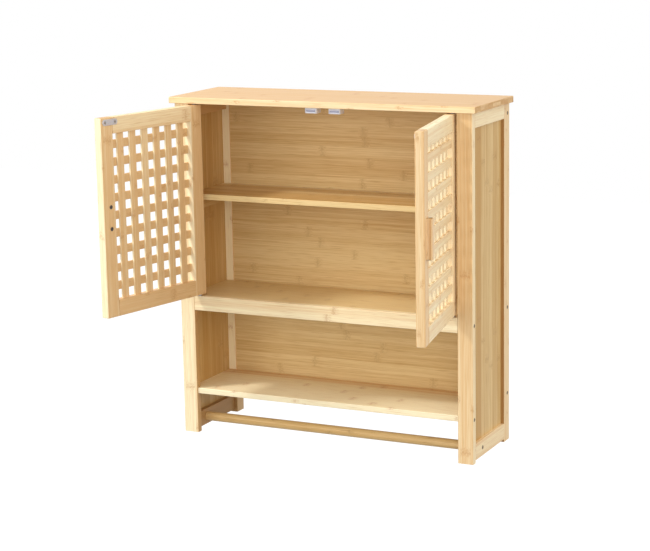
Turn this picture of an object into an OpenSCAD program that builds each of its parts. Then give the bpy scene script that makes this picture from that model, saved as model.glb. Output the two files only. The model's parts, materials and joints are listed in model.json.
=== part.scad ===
// Wall cabinet in solid bamboo: two lattice doors over a closed compartment with a shelf, an open
// compartment below them, and a towel bar between the feet.
//
// X runs across the cabinet, Y runs from the room to the wall and Z runs up. The origin lies on the
// wall plane, midway between the two wall screw holes. The modules below draw in cabinet
// coordinates, from the front face of the posts and the soles of the feet, and in_frame() moves
// them to that origin. Doors are drawn shut, with u from the hinge edge and v from the outer face,
// and in_left_door() and in_right_door() swing them to where they stand open.

/* [Overall] */
// Width across the top panel
top_width = 620; // [560:5:700]
// Height from the soles of the feet to the upper face of the top panel
cabinet_height = 656; // [630:2:740]
// Depth from the front face of the posts to the wall
carcass_depth = 188; // [165:1:240]

/* [Top panel] */
// Thickness of the top panel
top_thickness = 12; // [11:0.5:18]
// Overhang of the top panel past each side
side_overhang = 8; // [3:0.5:16]
// Overhang of the top panel past the front of the posts
front_overhang = 8; // [3:0.5:16]

/* [Posts and side rails] */
// Width of each post, seen from the front
post_width = 30; // [26:0.5:40]
// Depth of each front post
front_post_depth = 13; // [12:0.5:20]
// Depth of each rear post
rear_post_depth = 28; // [26:0.5:36]
// Thickness of the side rails, across the cabinet
side_rail_thickness = 24; // [20:0.5:26]
// Height of the upper side rails
side_top_rail_height = 28; // [22:1:50]
// Height of the lower side rails
side_bottom_rail_height = 31; // [24:1:45]
// Height of the lower side rails above the soles of the feet
foot_height = 5; // [0:1:20]

/* [Side panels] */
// Thickness of each side panel
side_panel_thickness = 8; // [6:0.5:9]
// Step from the outer face of the side rails in to the side panel
side_panel_recess = 6; // [3:0.5:7]
// Depth to which the side panels enter the posts and side rails
side_panel_tongue = 3.5; // [2:0.1:3.7]

/* [Back] */
// Thickness of the back panel
back_panel_thickness = 6; // [4:0.5:8]
// Step from the front of the rear posts back to the back panel
back_panel_setback = 2; // [1:0.5:4]
// Depth to which the back panel enters the rear posts
back_panel_tongue = 5; // [2:0.5:7]
// Height of the hanging rail under the top panel
hanging_rail_height = 38; // [32:1:60]
// Height of the middle and lower back rails
back_rail_height = 28.5; // [24:0.5:45]
// Diameter of the two wall screw holes
wall_hole_diameter = 6; // [4:0.5:8]
// Distance between the two wall screw holes
wall_hole_spacing = 400; // [300:5:460]
// Distance of the wall screw holes below the top panel
wall_hole_drop = 16; // [10:1:22]

/* [Shelves] */
// Thickness of the shelves
shelf_thickness = 11; // [9:0.5:14]
// Height of the upper shelf's upper face above the soles of the feet
upper_shelf_level = 468.5; // [390:0.5:560]
// Height of the middle shelf's upper face above the soles of the feet
middle_shelf_level = 273; // [230:0.5:320]
// Height of the lower shelf's upper face above the soles of the feet
lower_shelf_level = 89; // [80:0.5:130]
// Gap between the upper shelf and a shut door
upper_shelf_gap = 4; // [3:0.5:20]
// Step from the front of the posts back to the lower shelf
lower_shelf_setback = 3; // [1:0.5:4]
// Height of the rail in front of the middle shelf
middle_rail_height = 28.5; // [26:0.5:45]
// Thickness of the upper shelf's cleats
cleat_thickness = 12; // [10:0.5:16]
// Height of the upper shelf's cleats
cleat_height = 22; // [14:0.5:35]
// Step from the upper shelf's front edge back to its cleats
cleat_setback = 2; // [0:0.5:20]

/* [Towel bar] */
// Diameter of the towel bar
bar_diameter = 18; // [14:0.5:22]
// Distance of the towel bar's axis behind the front of the posts
bar_setback = 48; // [46:1:120]

/* [Doors] */
// Thickness of the door frames
door_thickness = 16; // [14:0.5:19]
// Width of the door stiles
stile_width = 30; // [26:0.5:36]
// Height of the door rails
door_rail_height = 30; // [28:0.5:36]
// Gap between each door and its post
door_side_gap = 3; // [2:0.25:4]
// Gap between the two shut doors
door_meeting_gap = 2; // [1.5:0.25:4]
// Gap between the doors and the top panel
door_top_gap = 2; // [1:0.25:4]
// Gap between the doors and the middle shelf
door_bottom_gap = 4; // [2:0.25:6]
// Angle at which the left door stands open
left_door_angle = 102.5; // [0:0.5:115]
// Angle at which the right door stands open
right_door_angle = 100.5; // [0:0.5:115]

/* [Lattice] */
// Number of upright slats in each door
upright_count = 6; // [4:1:7]
// Width of the upright slats
upright_width = 16; // [12:0.5:20]
// Height of the cross slats
cross_slat_height = 15.6; // [12:0.1:20]
// Gap between the cross slats, counted from the bottom rail
cross_slat_gap = 16.9; // [12:0.1:24]
// Smallest gap left over the topmost cross slat
least_top_gap = 6; // [4:0.5:10]
// Thickness of the slats
slat_thickness = 4; // [3:0.1:4.5]
// Step from the inner face of the door frame to the upright slats
lattice_recess = 5.7; // [4.5:0.1:6]
// Depth to which the slats enter the door frame
slat_tenon = 5; // [3:0.5:6]

/* [Door pins] */
// Diameter of the hinge pins
pin_diameter = 4; // [3:0.1:5]
// Distance of the pins from the door's hinge edge
pin_edge_distance = 7; // [6:0.1:8]
// Distance of the pins from the door's outer face
pin_face_distance = 5; // [4.5:0.1:5.5]
// Depth to which each pin enters the door
pin_hold = 25; // [15:1:40]
// Diameter of the collar between a pin's two halves
pin_collar_diameter = 8; // [7:0.1:9]
// Wall of the bushes in which the pins turn
bush_wall = 1.15; // [0.8:0.05:1.4]
// Length of the bushes
bush_length = 9; // [7:0.5:9.5]
// Radial clearance of the pins in their bushes
pin_clearance = 0.05; // [0.02:0.01:0.1]
// End clearance between each collar and its bush
collar_clearance = 0.3; // [0.2:0.05:0.6]
// Space past the end of each pin in its bush
pin_end_gap = 1; // [0.5:0.25:3]

/* [Handles] */
// Length of each handle
handle_length = 70; // [55:1:120]
// Width of each handle
handle_width = 16; // [14:0.5:20]
// Projection of each handle from the door
handle_projection = 11; // [10:0.5:16]
// Radius of the scoop along both sides of a handle
handle_scoop_radius = 4.5; // [3:0.1:5]
// Depth of the scoop along both sides of a handle
handle_scoop_depth = 2.5; // [1:0.1:3]
// Distance of the handle's axis from the door's free edge
handle_edge_distance = 18.5; // [14:0.5:20]
// Height of the handle's middle above the soles of the feet
handle_level = 460; // [400:1:520]
// Distance between the two screws of a handle
handle_screw_spacing = 40; // [25:1:45]
// Depth to which the screws enter the handle
handle_screw_bite = 7; // [5:0.5:8]

/* [Catches] */
// Length of each strike plate
strike_length = 38; // [34:1:44]
// Height of each strike plate
strike_height = 11; // [9:0.5:14]
// Thickness of each strike plate
strike_thickness = 1.2; // [0.8:0.1:2]
// Distance of the strike plate's middle from the door's free edge
strike_edge_distance = 23; // [23:0.5:30]
// Distance of the strike plate's middle below the door's top edge
strike_drop = 8.5; // [7.5:0.5:9.5]
// Distance between the two screws of a strike plate
strike_screw_spacing = 25; // [22:1:26]
// Width of each catch
catch_width = 25; // [22:0.5:32]
// Depth of the catch case
catch_depth = 17; // [14:0.5:22]
// Radius of the catch case's front corners
catch_corner = 3; // [1:0.5:5]
// Thickness of the catch case under its lower pole plate
catch_wall = 2; // [1:0.25:3]
// Height of the poles' middle above the strike plate's middle
pole_rise = 2; // [0:0.25:2.5]
// Thickness of the catch's pole plates
pole_thickness = 1; // [0.8:0.1:1.5]
// Thickness of the magnet between the pole plates
magnet_thickness = 3; // [2:0.1:3.5]
// Width of the pole plates and the magnet
pole_width = 19; // [14:0.5:19]
// Depth of the pole plates
pole_depth = 11; // [8:0.5:12]
// Step from the pole plates' front back to the catch case
pole_projection = 0.8; // [0.4:0.1:2]
// Gap between the pole plates and the strike plate of a shut door
catch_gap = 0.2; // [0.1:0.05:0.6]
// Length of the screw flange behind the catch case
catch_flange_length = 12; // [9:0.5:16]
// Thickness of the screw flange
catch_flange_thickness = 2.5; // [2:0.25:4]

/* [Dowels and screws] */
// Diameter of the dowels between posts and side rails
dowel_diameter = 8; // [6:0.5:9]
// Length of the dowels between posts and side rails
dowel_length = 30; // [24:1:36]
// Wood left over the end of a dowel in a front post
dowel_cover = 4; // [3:0.5:6]
// Diameter of the thin dowels in the top panel, the shelf and the doors
thin_dowel_diameter = 6; // [4:0.5:6]
// Length of the dowels between the posts and the top panel
top_dowel_length = 20; // [16:1:24]
// Depth to which the dowels enter the top panel
top_dowel_depth = 8; // [6:0.5:9]
// Diameter of the screws that hold the frame
screw_diameter = 3.5; // [3:0.1:3.6]
// Length of the screws that hold the frame
screw_length = 50; // [42:1:60]
// Diameter of the screws in the towel bar and the handles
bar_screw_diameter = 4; // [3:0.1:5]
// Length of the screws in the towel bar
bar_screw_length = 45; // [36:1:60]
// Length of the screws through the back rails into the shelves
back_screw_length = 45; // [38:1:60]
// Diameter of the small screws in the cleats, catches and strike plates
small_screw_diameter = 3; // [2.5:0.1:3.2]
// Length of the screws in the cleats
cleat_screw_length = 18; // [15:0.5:19]
// Distance of the cleats' screws from the cleats' ends
cleat_screw_margin = 25; // [12:1:45]
// Distance of the outer dowels and screws of a shelf from its middle
shelf_fixing_spacing = 180; // [120:5:220]
// Length of the screws in the catches and the strike plates
small_screw_length = 10; // [8:0.5:11]
// Clearance around dowels and screws
fit_gap = 0.05; // [0.02:0.01:0.1]

/* [Edges] */
// Width of the broken edges on posts, rails and panels
edge_break = 0.8; // [0.3:0.1:1.5]

/* [Hidden] */
$fn = 48;

// Colours: pale bamboo boards, its warmer inside, the tan handles, plastic and steel
bamboo = "#e6c48c";
bamboo_inside = "#d2a868";
bamboo_handle = "#dbb482";
white_plastic = "#f2f3f6";
steel = "#a3a7ad";
dark_steel = "#55585e";
brass_bush = "#c9a24a";

// Length by which a cutter runs out of the wood
past = 2;
// Space left at the bottom of a groove
groove_gap = 0.5;

// Levels and faces of the carcass
post_outer = top_width / 2 - side_overhang;
post_inner = post_outer - post_width;
under_top = cabinet_height - top_thickness;
rear_front = carcass_depth - rear_post_depth;
rail_inner = post_outer - side_rail_thickness;
rail_middle = (post_outer + rail_inner) / 2;
panel_outer = post_outer - side_panel_recess;
panel_inner = panel_outer - side_panel_thickness;
top_rail_bottom = under_top - side_top_rail_height;
top_rail_level = under_top - side_top_rail_height / 2;
bottom_rail_top = foot_height + side_bottom_rail_height;
bottom_rail_level = foot_height + side_bottom_rail_height / 2;
back_front = rear_front + back_panel_setback;
back_rear = back_front + back_panel_thickness;
back_bottom = lower_shelf_level - shelf_thickness;
wall_hole_level = under_top - wall_hole_drop;
upper_shelf_front = door_thickness + upper_shelf_gap;
cleat_front = upper_shelf_front + cleat_setback;
cleat_top = upper_shelf_level - shelf_thickness;
cleat_inner = panel_inner - cleat_thickness;
middle_rail_level = middle_shelf_level - middle_rail_height / 2;

// Size and place of a shut door
door_bottom = middle_shelf_level + door_bottom_gap;
door_top = under_top - door_top_gap;
door_width = post_inner - door_side_gap - door_meeting_gap / 2;
hinge_x = post_inner - door_side_gap - pin_edge_distance;
field_right = door_width - stile_width;
field_bottom = door_bottom + door_rail_height;
field_top = door_top - door_rail_height;
slat_front = door_thickness - lattice_recess;
upright_gap = (field_right - stile_width - upright_count * upright_width) / (upright_count + 1);
cross_pitch = cross_slat_height + cross_slat_gap;
cross_slat_count = floor((field_top - field_bottom - least_top_gap) / cross_pitch);

// Centres of the fittings
handle_u = door_width - handle_edge_distance;
strike_u = door_width - strike_edge_distance;
strike_level = door_top - strike_drop;
catch_x = post_inner - door_side_gap - strike_u;
pole_front = door_thickness + strike_thickness + catch_gap;
case_front = pole_front + pole_projection;
pole_bottom = strike_level + pole_rise - magnet_thickness / 2 - pole_thickness;
case_low = pole_bottom - catch_wall;
flange_screw_y = case_front + catch_depth + catch_flange_length / 2;
bush_radius = pin_diameter / 2 + pin_clearance + bush_wall;
// Places of the dowels that hold the top panel
top_dowel_x = post_inner + thin_dowel_diameter;
top_dowel_rear_y = carcass_depth - thin_dowel_diameter * 2;
// The frame's screws pass in front of the side panel's groove, past a wall of wood
groove_wall = 0.4;
front_screw_y = front_post_depth - side_panel_tongue - groove_gap - groove_wall
    - screw_diameter / 2;
back_rail_screw_y = (back_rear + carcass_depth) / 2;
// Height of a countersunk head and depth of its cross recess, as shares of the screw
function head_radius(diameter) = diameter;
function head_height(diameter) = diameter / 2;

// Moves cabinet coordinates to the origin on the wall
module in_frame() {
    translate([0, -carcass_depth, -wall_hole_level]) children();
}

// Draws the right-hand piece and its mirror image
module both_sides() {
    children();
    mirror([1, 0, 0]) children();
}

// Swings the left door's pieces open about its pins
module in_left_door(angle = left_door_angle) {
    in_frame() translate([-hinge_x, pin_face_distance, 0]) rotate([0, 0, -angle])
        translate([-pin_edge_distance, -pin_face_distance, 0]) children();
}

// The right door is the left one's mirror image, at its own angle
module in_right_door() {
    mirror([1, 0, 0]) in_left_door(right_door_angle) children();
}

// Rectangle with its four corners cut
module broken_rectangle(width, height, cut) {
    polygon([
        [cut, 0], [width - cut, 0], [width, cut], [width, height - cut],
        [width - cut, height], [cut, height], [0, height - cut], [0, cut]
    ]);
}

// Board between two corners, with the long edges along one axis broken
module board(low, high, along, cut = edge_break) {
    size = high - low;
    translate(low) {
        if (along == "x")
            rotate([90, 0, 90]) linear_extrude(size.x) broken_rectangle(size.y, size.z, cut);
        if (along == "y")
            translate([0, size.y, 0]) rotate([90, 0, 0])
                linear_extrude(size.y) broken_rectangle(size.x, size.z, cut);
        if (along == "z")
            linear_extrude(size.z) broken_rectangle(size.x, size.y, cut);
    }
}

// Board with all twelve edges broken
module eased_board(low, high, cut = edge_break) {
    intersection() {
        board(low, high, "x", cut);
        board(low, high, "y", cut);
        board(low, high, "z", cut);
    }
}

// Plain block between two corners
module block(low, high) {
    translate(low) cube(high - low);
}

// Round dowel or pin from one end, along one axis
module dowel(start, length, diameter, along, gap) {
    turn = along == "x" ? [0, 90, 0] : along == "y" ? [-90, 0, 0] : [0, 0, 0];
    translate(start) rotate(turn) translate([0, 0, -gap])
        cylinder(h = length + 2 * gap, d = diameter + 2 * gap);
}

// Countersunk screw, with its head at the origin and its tip down. With a gap it is the screw's
// own hole, open past the head.
module screw(length, diameter, gap = 0) {
    radius = diameter / 2 + gap;
    head = head_radius(diameter) + gap;
    rise = gap > 0 ? past : 0;
    recess = diameter / 4;
    difference() {
        rotate_extrude()
            polygon([
                [0, rise], [head, rise], [head, 0], [radius, -head_height(diameter)],
                [radius, -length + radius], [0, -length - gap]
            ]);
        if (gap == 0)
            for (turn = [0, 90])
                rotate([0, 0, turn])
                    translate([-diameter / 2, -recess / 2, -recess]) cube([diameter, recess, past]);
    }
}

// Side panel, and the groove that takes its edges
module side_panel_blank(gap = 0) {
    reach = side_panel_tongue + gap;
    block([panel_inner, front_post_depth - reach, bottom_rail_top - reach],
          [panel_outer, rear_front + reach, top_rail_bottom + reach]);
}

// Back panel, and the grooves that take its edges in the rear posts
module back_panel_blank(gap = 0) {
    block([-post_inner - back_panel_tongue - gap, back_front, back_bottom],
          [post_inner + back_panel_tongue + gap, back_rear, under_top]);
}

// Dowels between one side's posts and rails
module side_dowels(gap = 0) {
    for (level = [bottom_rail_level, top_rail_level]) {
        dowel([rail_middle, dowel_cover, level], dowel_length, dowel_diameter, "y", gap);
        dowel([rail_middle, rear_front - dowel_length / 2, level],
              dowel_length, dowel_diameter, "y", gap);
    }
}

// Dowels between one side's posts and the top panel
module top_dowels(gap = 0) {
    for (y = [front_post_depth / 2, top_dowel_rear_y])
        dowel([top_dowel_x, y, under_top + top_dowel_depth - top_dowel_length],
              top_dowel_length, thin_dowel_diameter, "z", gap);
}

// Dowels between the middle shelf and the rail in front of it
module rail_dowels(gap = 0) {
    for (x = [-shelf_fixing_spacing, 0, shelf_fixing_spacing])
        dowel([x, dowel_cover, middle_shelf_level - shelf_thickness / 2],
              dowel_length, thin_dowel_diameter, "y", gap);
}

// Screws through one side's posts: front rail and lower shelf, then the three back rails
module side_screws(gap = 0) {
    places = [
        [front_screw_y, middle_rail_level],
        [front_screw_y, lower_shelf_level - shelf_thickness / 2],
        [back_rail_screw_y, under_top - hanging_rail_height / 2],
        [back_rail_screw_y, middle_shelf_level - back_rail_height / 2],
        [back_rail_screw_y, back_bottom + back_rail_height / 2]
    ];
    for (place = places)
        translate([post_outer, place[0], place[1]]) rotate([0, 90, 0])
            screw(screw_length, screw_diameter, gap);
}

// Screws through the back rails and the back panel into the middle and lower shelves
module shelf_screws(gap = 0) {
    for (level = [middle_shelf_level, lower_shelf_level],
         x = [-shelf_fixing_spacing, 0, shelf_fixing_spacing])
        translate([x, carcass_depth, level - shelf_thickness / 2]) rotate([-90, 0, 0])
            screw(back_screw_length, screw_diameter, gap);
}

// Screws through one cleat into its side panel
module cleat_fixings(gap = 0) {
    for (y = [cleat_front + cleat_screw_margin, rear_front - cleat_screw_margin])
        translate([cleat_inner, y, cleat_top - cleat_height / 2])
            rotate([0, -90, 0]) screw(cleat_screw_length, small_screw_diameter, gap);
}

// Screw through one side rail into the towel bar
module bar_fixing(gap = 0) {
    translate([post_outer, bar_setback, bottom_rail_level]) rotate([0, 90, 0])
        screw(bar_screw_length, bar_screw_diameter, gap);
}

// Bush for a pin that enters wood upward from a level
module bush_blank(level, gap) {
    translate([hinge_x, pin_face_distance, level - (gap > 0 ? past : 0)])
        cylinder(h = bush_length + gap + (gap > 0 ? past : 0), r = bush_radius + gap);
}

// One door's two bushes, in the top panel and in the rail under the door
module bushes(gap = 0) {
    bush_blank(under_top, gap);
    translate([0, 0, middle_shelf_level]) mirror([0, 0, 1]) bush_blank(0, gap);
}

// The hollow in which one pin turns
module bush_bores() {
    for (level = [under_top, middle_shelf_level])
        translate([hinge_x, pin_face_distance, level - bush_length - past])
            cylinder(h = 2 * (bush_length + past), r = pin_diameter / 2 + pin_clearance);
}

// Wall screw holes through the hanging rail and the back panel
module wall_holes() {
    for (side = [-1, 1])
        translate([side * wall_hole_spacing / 2, carcass_depth + past, wall_hole_level])
            rotate([90, 0, 0])
                cylinder(h = rear_post_depth + 2 * past, d = wall_hole_diameter);
}

// Screw that holds one catch under the top panel
module catch_fixing(gap = 0) {
    translate([catch_x, flange_screw_y, under_top - catch_flange_thickness])
        rotate([180, 0, 0]) screw(small_screw_length, small_screw_diameter, gap);
}

// Carcass boards, drawn on the right

module front_post() {
    difference() {
        board([post_inner, 0, 0], [post_outer, front_post_depth, under_top], "z");
        side_panel_blank(groove_gap);
        side_dowels(fit_gap);
        top_dowels(fit_gap);
        side_screws(fit_gap);
    }
}

module rear_post() {
    difference() {
        board([post_inner, rear_front, 0], [post_outer, carcass_depth, under_top], "z");
        side_panel_blank(groove_gap);
        back_panel_blank(groove_gap);
        side_dowels(fit_gap);
        top_dowels(fit_gap);
        side_screws(fit_gap);
    }
}

module side_rail(bottom, top) {
    difference() {
        board([rail_inner, front_post_depth, bottom], [post_outer, rear_front, top], "y");
        side_panel_blank(groove_gap);
        side_dowels(fit_gap);
        bar_fixing(fit_gap);
    }
}

module side_panel() {
    difference() {
        side_panel_blank();
        cleat_fixings(fit_gap);
    }
}

// Shelf between the side panels, cut round the posts it reaches
module shelf(front, level) {
    difference() {
        board([-panel_inner, front, level - shelf_thickness], [panel_inner, back_front, level], "x");
        both_sides() {
            block([post_inner, front - past, level - shelf_thickness - past],
                  [post_outer, front_post_depth, level + past]);
            block([post_inner, rear_front, level - shelf_thickness - past],
                  [post_outer, back_front + past, level + past]);
            side_screws(fit_gap);
        }
        rail_dowels(fit_gap);
        shelf_screws(fit_gap);
    }
}

// Rail behind the back panel, between the rear posts
module back_rail(bottom, top) {
    difference() {
        board([-post_inner, back_rear, bottom], [post_inner, carcass_depth, top], "x");
        both_sides() side_screws(fit_gap);
        shelf_screws(fit_gap);
        wall_holes();
    }
}

module cleat() {
    difference() {
        board([cleat_inner, cleat_front, cleat_top - cleat_height],
              [panel_inner, rear_front, cleat_top], "y");
        cleat_fixings(fit_gap);
    }
}

// Catch case: rounded at the front corners, with a mouth for the poles and a screw flange
module catch_case() {
    left = catch_x - catch_width / 2;
    right = catch_x + catch_width / 2;
    rear = case_front + catch_depth;
    difference() {
        union() {
            block([left, case_front + catch_corner, case_low], [right, rear, under_top]);
            block([left + catch_corner, case_front, case_low],
                  [right - catch_corner, rear, under_top]);
            for (x = [left + catch_corner, right - catch_corner])
                translate([x, case_front + catch_corner, case_low])
                    cylinder(h = under_top - case_low, r = catch_corner);
            block([left, rear, under_top - catch_flange_thickness],
                  [right, rear + catch_flange_length, under_top]);
        }
        catch_poles();
        catch_magnet();
        catch_fixing(fit_gap);
    }
}

module catch_poles() {
    for (rise = [0, pole_thickness + magnet_thickness])
        block([catch_x - pole_width / 2, pole_front, pole_bottom + rise],
              [catch_x + pole_width / 2, pole_front + pole_depth,
               pole_bottom + rise + pole_thickness]);
}

// The magnet stands back from the poles by twice their projection
module catch_magnet(front = pole_front + 2 * pole_projection) {
    block([catch_x - pole_width / 2, front, pole_bottom + pole_thickness],
          [catch_x + pole_width / 2, pole_front + pole_depth,
           pole_bottom + pole_thickness + magnet_thickness]);
}

// Door boards, in door coordinates

module upright_slats_blank() {
    for (i = [0 : upright_count - 1]) {
        u = stile_width + upright_gap + i * (upright_width + upright_gap);
        block([u, slat_front - slat_thickness, field_bottom - slat_tenon],
              [u + upright_width, slat_front, field_top + slat_tenon]);
    }
}

module cross_slats_blank() {
    for (i = [0 : cross_slat_count - 1]) {
        z = field_bottom + cross_slat_gap + i * cross_pitch;
        block([stile_width - slat_tenon, slat_front - 2 * slat_thickness, z],
              [field_right + slat_tenon, slat_front - slat_thickness, z + cross_slat_height]);
    }
}

// Dowels between the door's stiles and rails, past the pins
module door_dowels_blank(gap = 0) {
    length = 2 * (stile_width - pin_edge_distance * 2);
    for (level = [door_bottom + door_rail_height / 2, door_top - door_rail_height / 2],
         u = [stile_width, field_right])
        dowel([u - length / 2, door_thickness / 2, level], length, thin_dowel_diameter, "x", gap);
}

// Pin with its collar, for the door's upper end
module door_pin(collar, gap) {
    translate([pin_edge_distance, pin_face_distance, 0]) {
        translate([0, 0, -pin_hold - gap])
            cylinder(h = pin_hold + bush_length + collar + gap - pin_end_gap,
                     d = pin_diameter + 2 * gap);
        if (gap == 0) cylinder(h = collar - collar_clearance, d = pin_collar_diameter);
    }
}

module door_pins(gap = 0) {
    translate([0, 0, door_top]) door_pin(door_top_gap, gap);
    translate([0, 0, door_bottom]) mirror([0, 0, 1]) door_pin(door_bottom_gap, gap);
}

// Screws through the free stile into the handle
module handle_fixings(gap = 0) {
    for (side = [-1, 1])
        translate([handle_u, door_thickness, handle_level + side * handle_screw_spacing / 2])
            rotate([-90, 0, 0])
                screw(door_thickness + handle_screw_bite, bar_screw_diameter, gap);
}

// Screws that hold the strike plate
module strike_fixings(gap = 0) {
    for (side = [-1, 1])
        translate([strike_u + side * strike_screw_spacing / 2,
                   door_thickness + strike_thickness, strike_level])
            rotate([-90, 0, 0]) screw(small_screw_length, small_screw_diameter, gap);
}

module hinge_stile() {
    difference() {
        eased_board([0, 0, door_bottom], [stile_width, door_thickness, door_top]);
        cross_slats_blank();
        door_dowels_blank(fit_gap);
        door_pins(fit_gap);
    }
}

module free_stile() {
    difference() {
        eased_board([field_right, 0, door_bottom], [door_width, door_thickness, door_top]);
        cross_slats_blank();
        door_dowels_blank(fit_gap);
        handle_fixings(fit_gap);
        strike_fixings(fit_gap);
    }
}

module door_rail(bottom) {
    difference() {
        board([stile_width, 0, bottom],
              [field_right, door_thickness, bottom + door_rail_height], "x");
        upright_slats_blank();
        door_dowels_blank(fit_gap);
        strike_fixings(fit_gap);
    }
}

// Handle bar, waisted along both sides where the fingers reach behind it
module handle() {
    low = handle_level - handle_length / 2;
    high = handle_level + handle_length / 2;
    left = handle_u - handle_width / 2;
    right = handle_u + handle_width / 2;
    scoop = handle_scoop_radius - handle_scoop_depth;
    difference() {
        eased_board([left, -handle_projection, low], [right, 0, high]);
        for (u = [left - scoop, right + scoop])
            translate([u, -handle_scoop_radius, low - past])
                cylinder(h = handle_length + 2 * past, r = handle_scoop_radius);
        handle_fixings(fit_gap);
    }
}

// Strike plate with round ends
module strike_plate() {
    radius = strike_height / 2;
    straight = strike_length / 2 - radius;
    difference() {
        union() {
            block([strike_u - straight, door_thickness, strike_level - radius],
                  [strike_u + straight, door_thickness + strike_thickness,
                   strike_level + radius]);
            for (side = [-1, 1])
                translate([strike_u + side * straight, door_thickness, strike_level])
                    rotate([-90, 0, 0]) cylinder(h = strike_thickness, r = radius);
        }
        strike_fixings(fit_gap);
    }
}

// Nodes of the carcass

module top_panel() {
    color(bamboo) in_frame() difference() {
        eased_board([-top_width / 2, -front_overhang, under_top],
                    [top_width / 2, carcass_depth, cabinet_height]);
        both_sides() {
            top_dowels(fit_gap);
            bushes(fit_gap);
            catch_fixing(fit_gap);
        }
    }
}

module front_post_left() { color(bamboo) in_frame() mirror([1, 0, 0]) front_post(); }
module front_post_right() { color(bamboo) in_frame() front_post(); }
module rear_post_left() { color(bamboo) in_frame() mirror([1, 0, 0]) rear_post(); }
module rear_post_right() { color(bamboo) in_frame() rear_post(); }
module side_top_rail_left() { mirror([1, 0, 0]) side_top_rail_right(); }
module side_top_rail_right() {
    color(bamboo) in_frame() side_rail(top_rail_bottom, under_top);
}
module side_bottom_rail_left() { mirror([1, 0, 0]) side_bottom_rail_right(); }
module side_bottom_rail_right() {
    color(bamboo) in_frame() side_rail(foot_height, bottom_rail_top);
}
module side_panel_left() { mirror([1, 0, 0]) side_panel_right(); }
module side_panel_right() { color(bamboo_inside) in_frame() side_panel(); }

module back_panel() {
    color(bamboo_inside) in_frame() difference() {
        back_panel_blank();
        shelf_screws(fit_gap);
        wall_holes();
    }
}

module hanging_rail() {
    color(bamboo) in_frame() back_rail(under_top - hanging_rail_height, under_top);
}

module middle_back_rail() {
    color(bamboo) in_frame()
        back_rail(middle_shelf_level - back_rail_height, middle_shelf_level);
}

module lower_back_rail() {
    color(bamboo) in_frame() back_rail(back_bottom, back_bottom + back_rail_height);
}

module upper_shelf() {
    color(bamboo_inside) in_frame() shelf(upper_shelf_front, upper_shelf_level);
}
module upper_shelf_cleat_left() { mirror([1, 0, 0]) upper_shelf_cleat_right(); }
module upper_shelf_cleat_right() { color(bamboo_inside) in_frame() cleat(); }
module middle_shelf() {
    color(bamboo_inside) in_frame() shelf(front_post_depth, middle_shelf_level);
}
module lower_shelf() {
    color(bamboo) in_frame() shelf(lower_shelf_setback, lower_shelf_level);
}

module middle_front_rail() {
    color(bamboo) in_frame() difference() {
        board([-post_inner, 0, middle_shelf_level - middle_rail_height],
              [post_inner, front_post_depth, middle_shelf_level], "x");
        both_sides() {
            side_screws(fit_gap);
            bushes(fit_gap);
        }
        rail_dowels(fit_gap);
    }
}

module towel_bar() {
    color(bamboo) in_frame() difference() {
        translate([-rail_inner, bar_setback, bottom_rail_level]) rotate([0, 90, 0])
            cylinder(h = 2 * rail_inner, d = bar_diameter);
        both_sides() bar_fixing(fit_gap);
    }
}

// Nodes of the dowels, screws and bushes in the carcass

module towel_bar_screws() { color(steel) in_frame() both_sides() bar_fixing(); }
module side_frame_dowels() { color(bamboo) in_frame() both_sides() side_dowels(); }
module top_panel_dowels() { color(bamboo) in_frame() both_sides() top_dowels(); }
module shelf_dowels() { color(bamboo) in_frame() rail_dowels(); }
module frame_screws() { color(steel) in_frame() both_sides() side_screws(); }
module back_screws() { color(steel) in_frame() shelf_screws(); }
module cleat_screws() { color(steel) in_frame() both_sides() cleat_fixings(); }

module hinge_bushes() {
    color(brass_bush) in_frame() both_sides() difference() {
        bushes();
        bush_bores();
    }
}

// Nodes of the catches

module catch_case_left() { mirror([1, 0, 0]) catch_case_right(); }
module catch_case_right() { color(white_plastic) in_frame() catch_case(); }
module catch_magnets() { color(dark_steel) in_frame() both_sides() catch_magnet(); }
module catch_pole_plates() { color(steel) in_frame() both_sides() catch_poles(); }
module catch_screws() { color(steel) in_frame() both_sides() catch_fixing(); }

// Nodes of the left door

module left_hinge_stile() { color(bamboo) in_left_door() hinge_stile(); }
module left_free_stile() { color(bamboo) in_left_door() free_stile(); }
module left_top_rail() { color(bamboo) in_left_door() door_rail(field_top); }
module left_bottom_rail() { color(bamboo) in_left_door() door_rail(door_bottom); }
module left_upright_slats() { color(bamboo) in_left_door() upright_slats_blank(); }
module left_cross_slats() { color(bamboo) in_left_door() cross_slats_blank(); }
module left_door_dowels() { color(bamboo) in_left_door() door_dowels_blank(); }
module left_handle() { color(bamboo_handle) in_left_door() handle(); }
module left_handle_screws() { color(dark_steel) in_left_door() handle_fixings(); }
module left_strike_plate() { color(steel) in_left_door() strike_plate(); }
module left_strike_screws() { color(steel) in_left_door() strike_fixings(); }
module left_hinge_pins() { color(steel) in_left_door() door_pins(); }

// Nodes of the right door

module right_hinge_stile() { color(bamboo) in_right_door() hinge_stile(); }
module right_free_stile() { color(bamboo) in_right_door() free_stile(); }
module right_top_rail() { color(bamboo) in_right_door() door_rail(field_top); }
module right_bottom_rail() { color(bamboo) in_right_door() door_rail(door_bottom); }
module right_upright_slats() { color(bamboo) in_right_door() upright_slats_blank(); }
module right_cross_slats() { color(bamboo) in_right_door() cross_slats_blank(); }
module right_door_dowels() { color(bamboo) in_right_door() door_dowels_blank(); }
module right_handle() { color(bamboo_handle) in_right_door() handle(); }
module right_handle_screws() { color(dark_steel) in_right_door() handle_fixings(); }
module right_strike_plate() { color(steel) in_right_door() strike_plate(); }
module right_strike_screws() { color(steel) in_right_door() strike_fixings(); }
module right_hinge_pins() { color(steel) in_right_door() door_pins(); }

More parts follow.
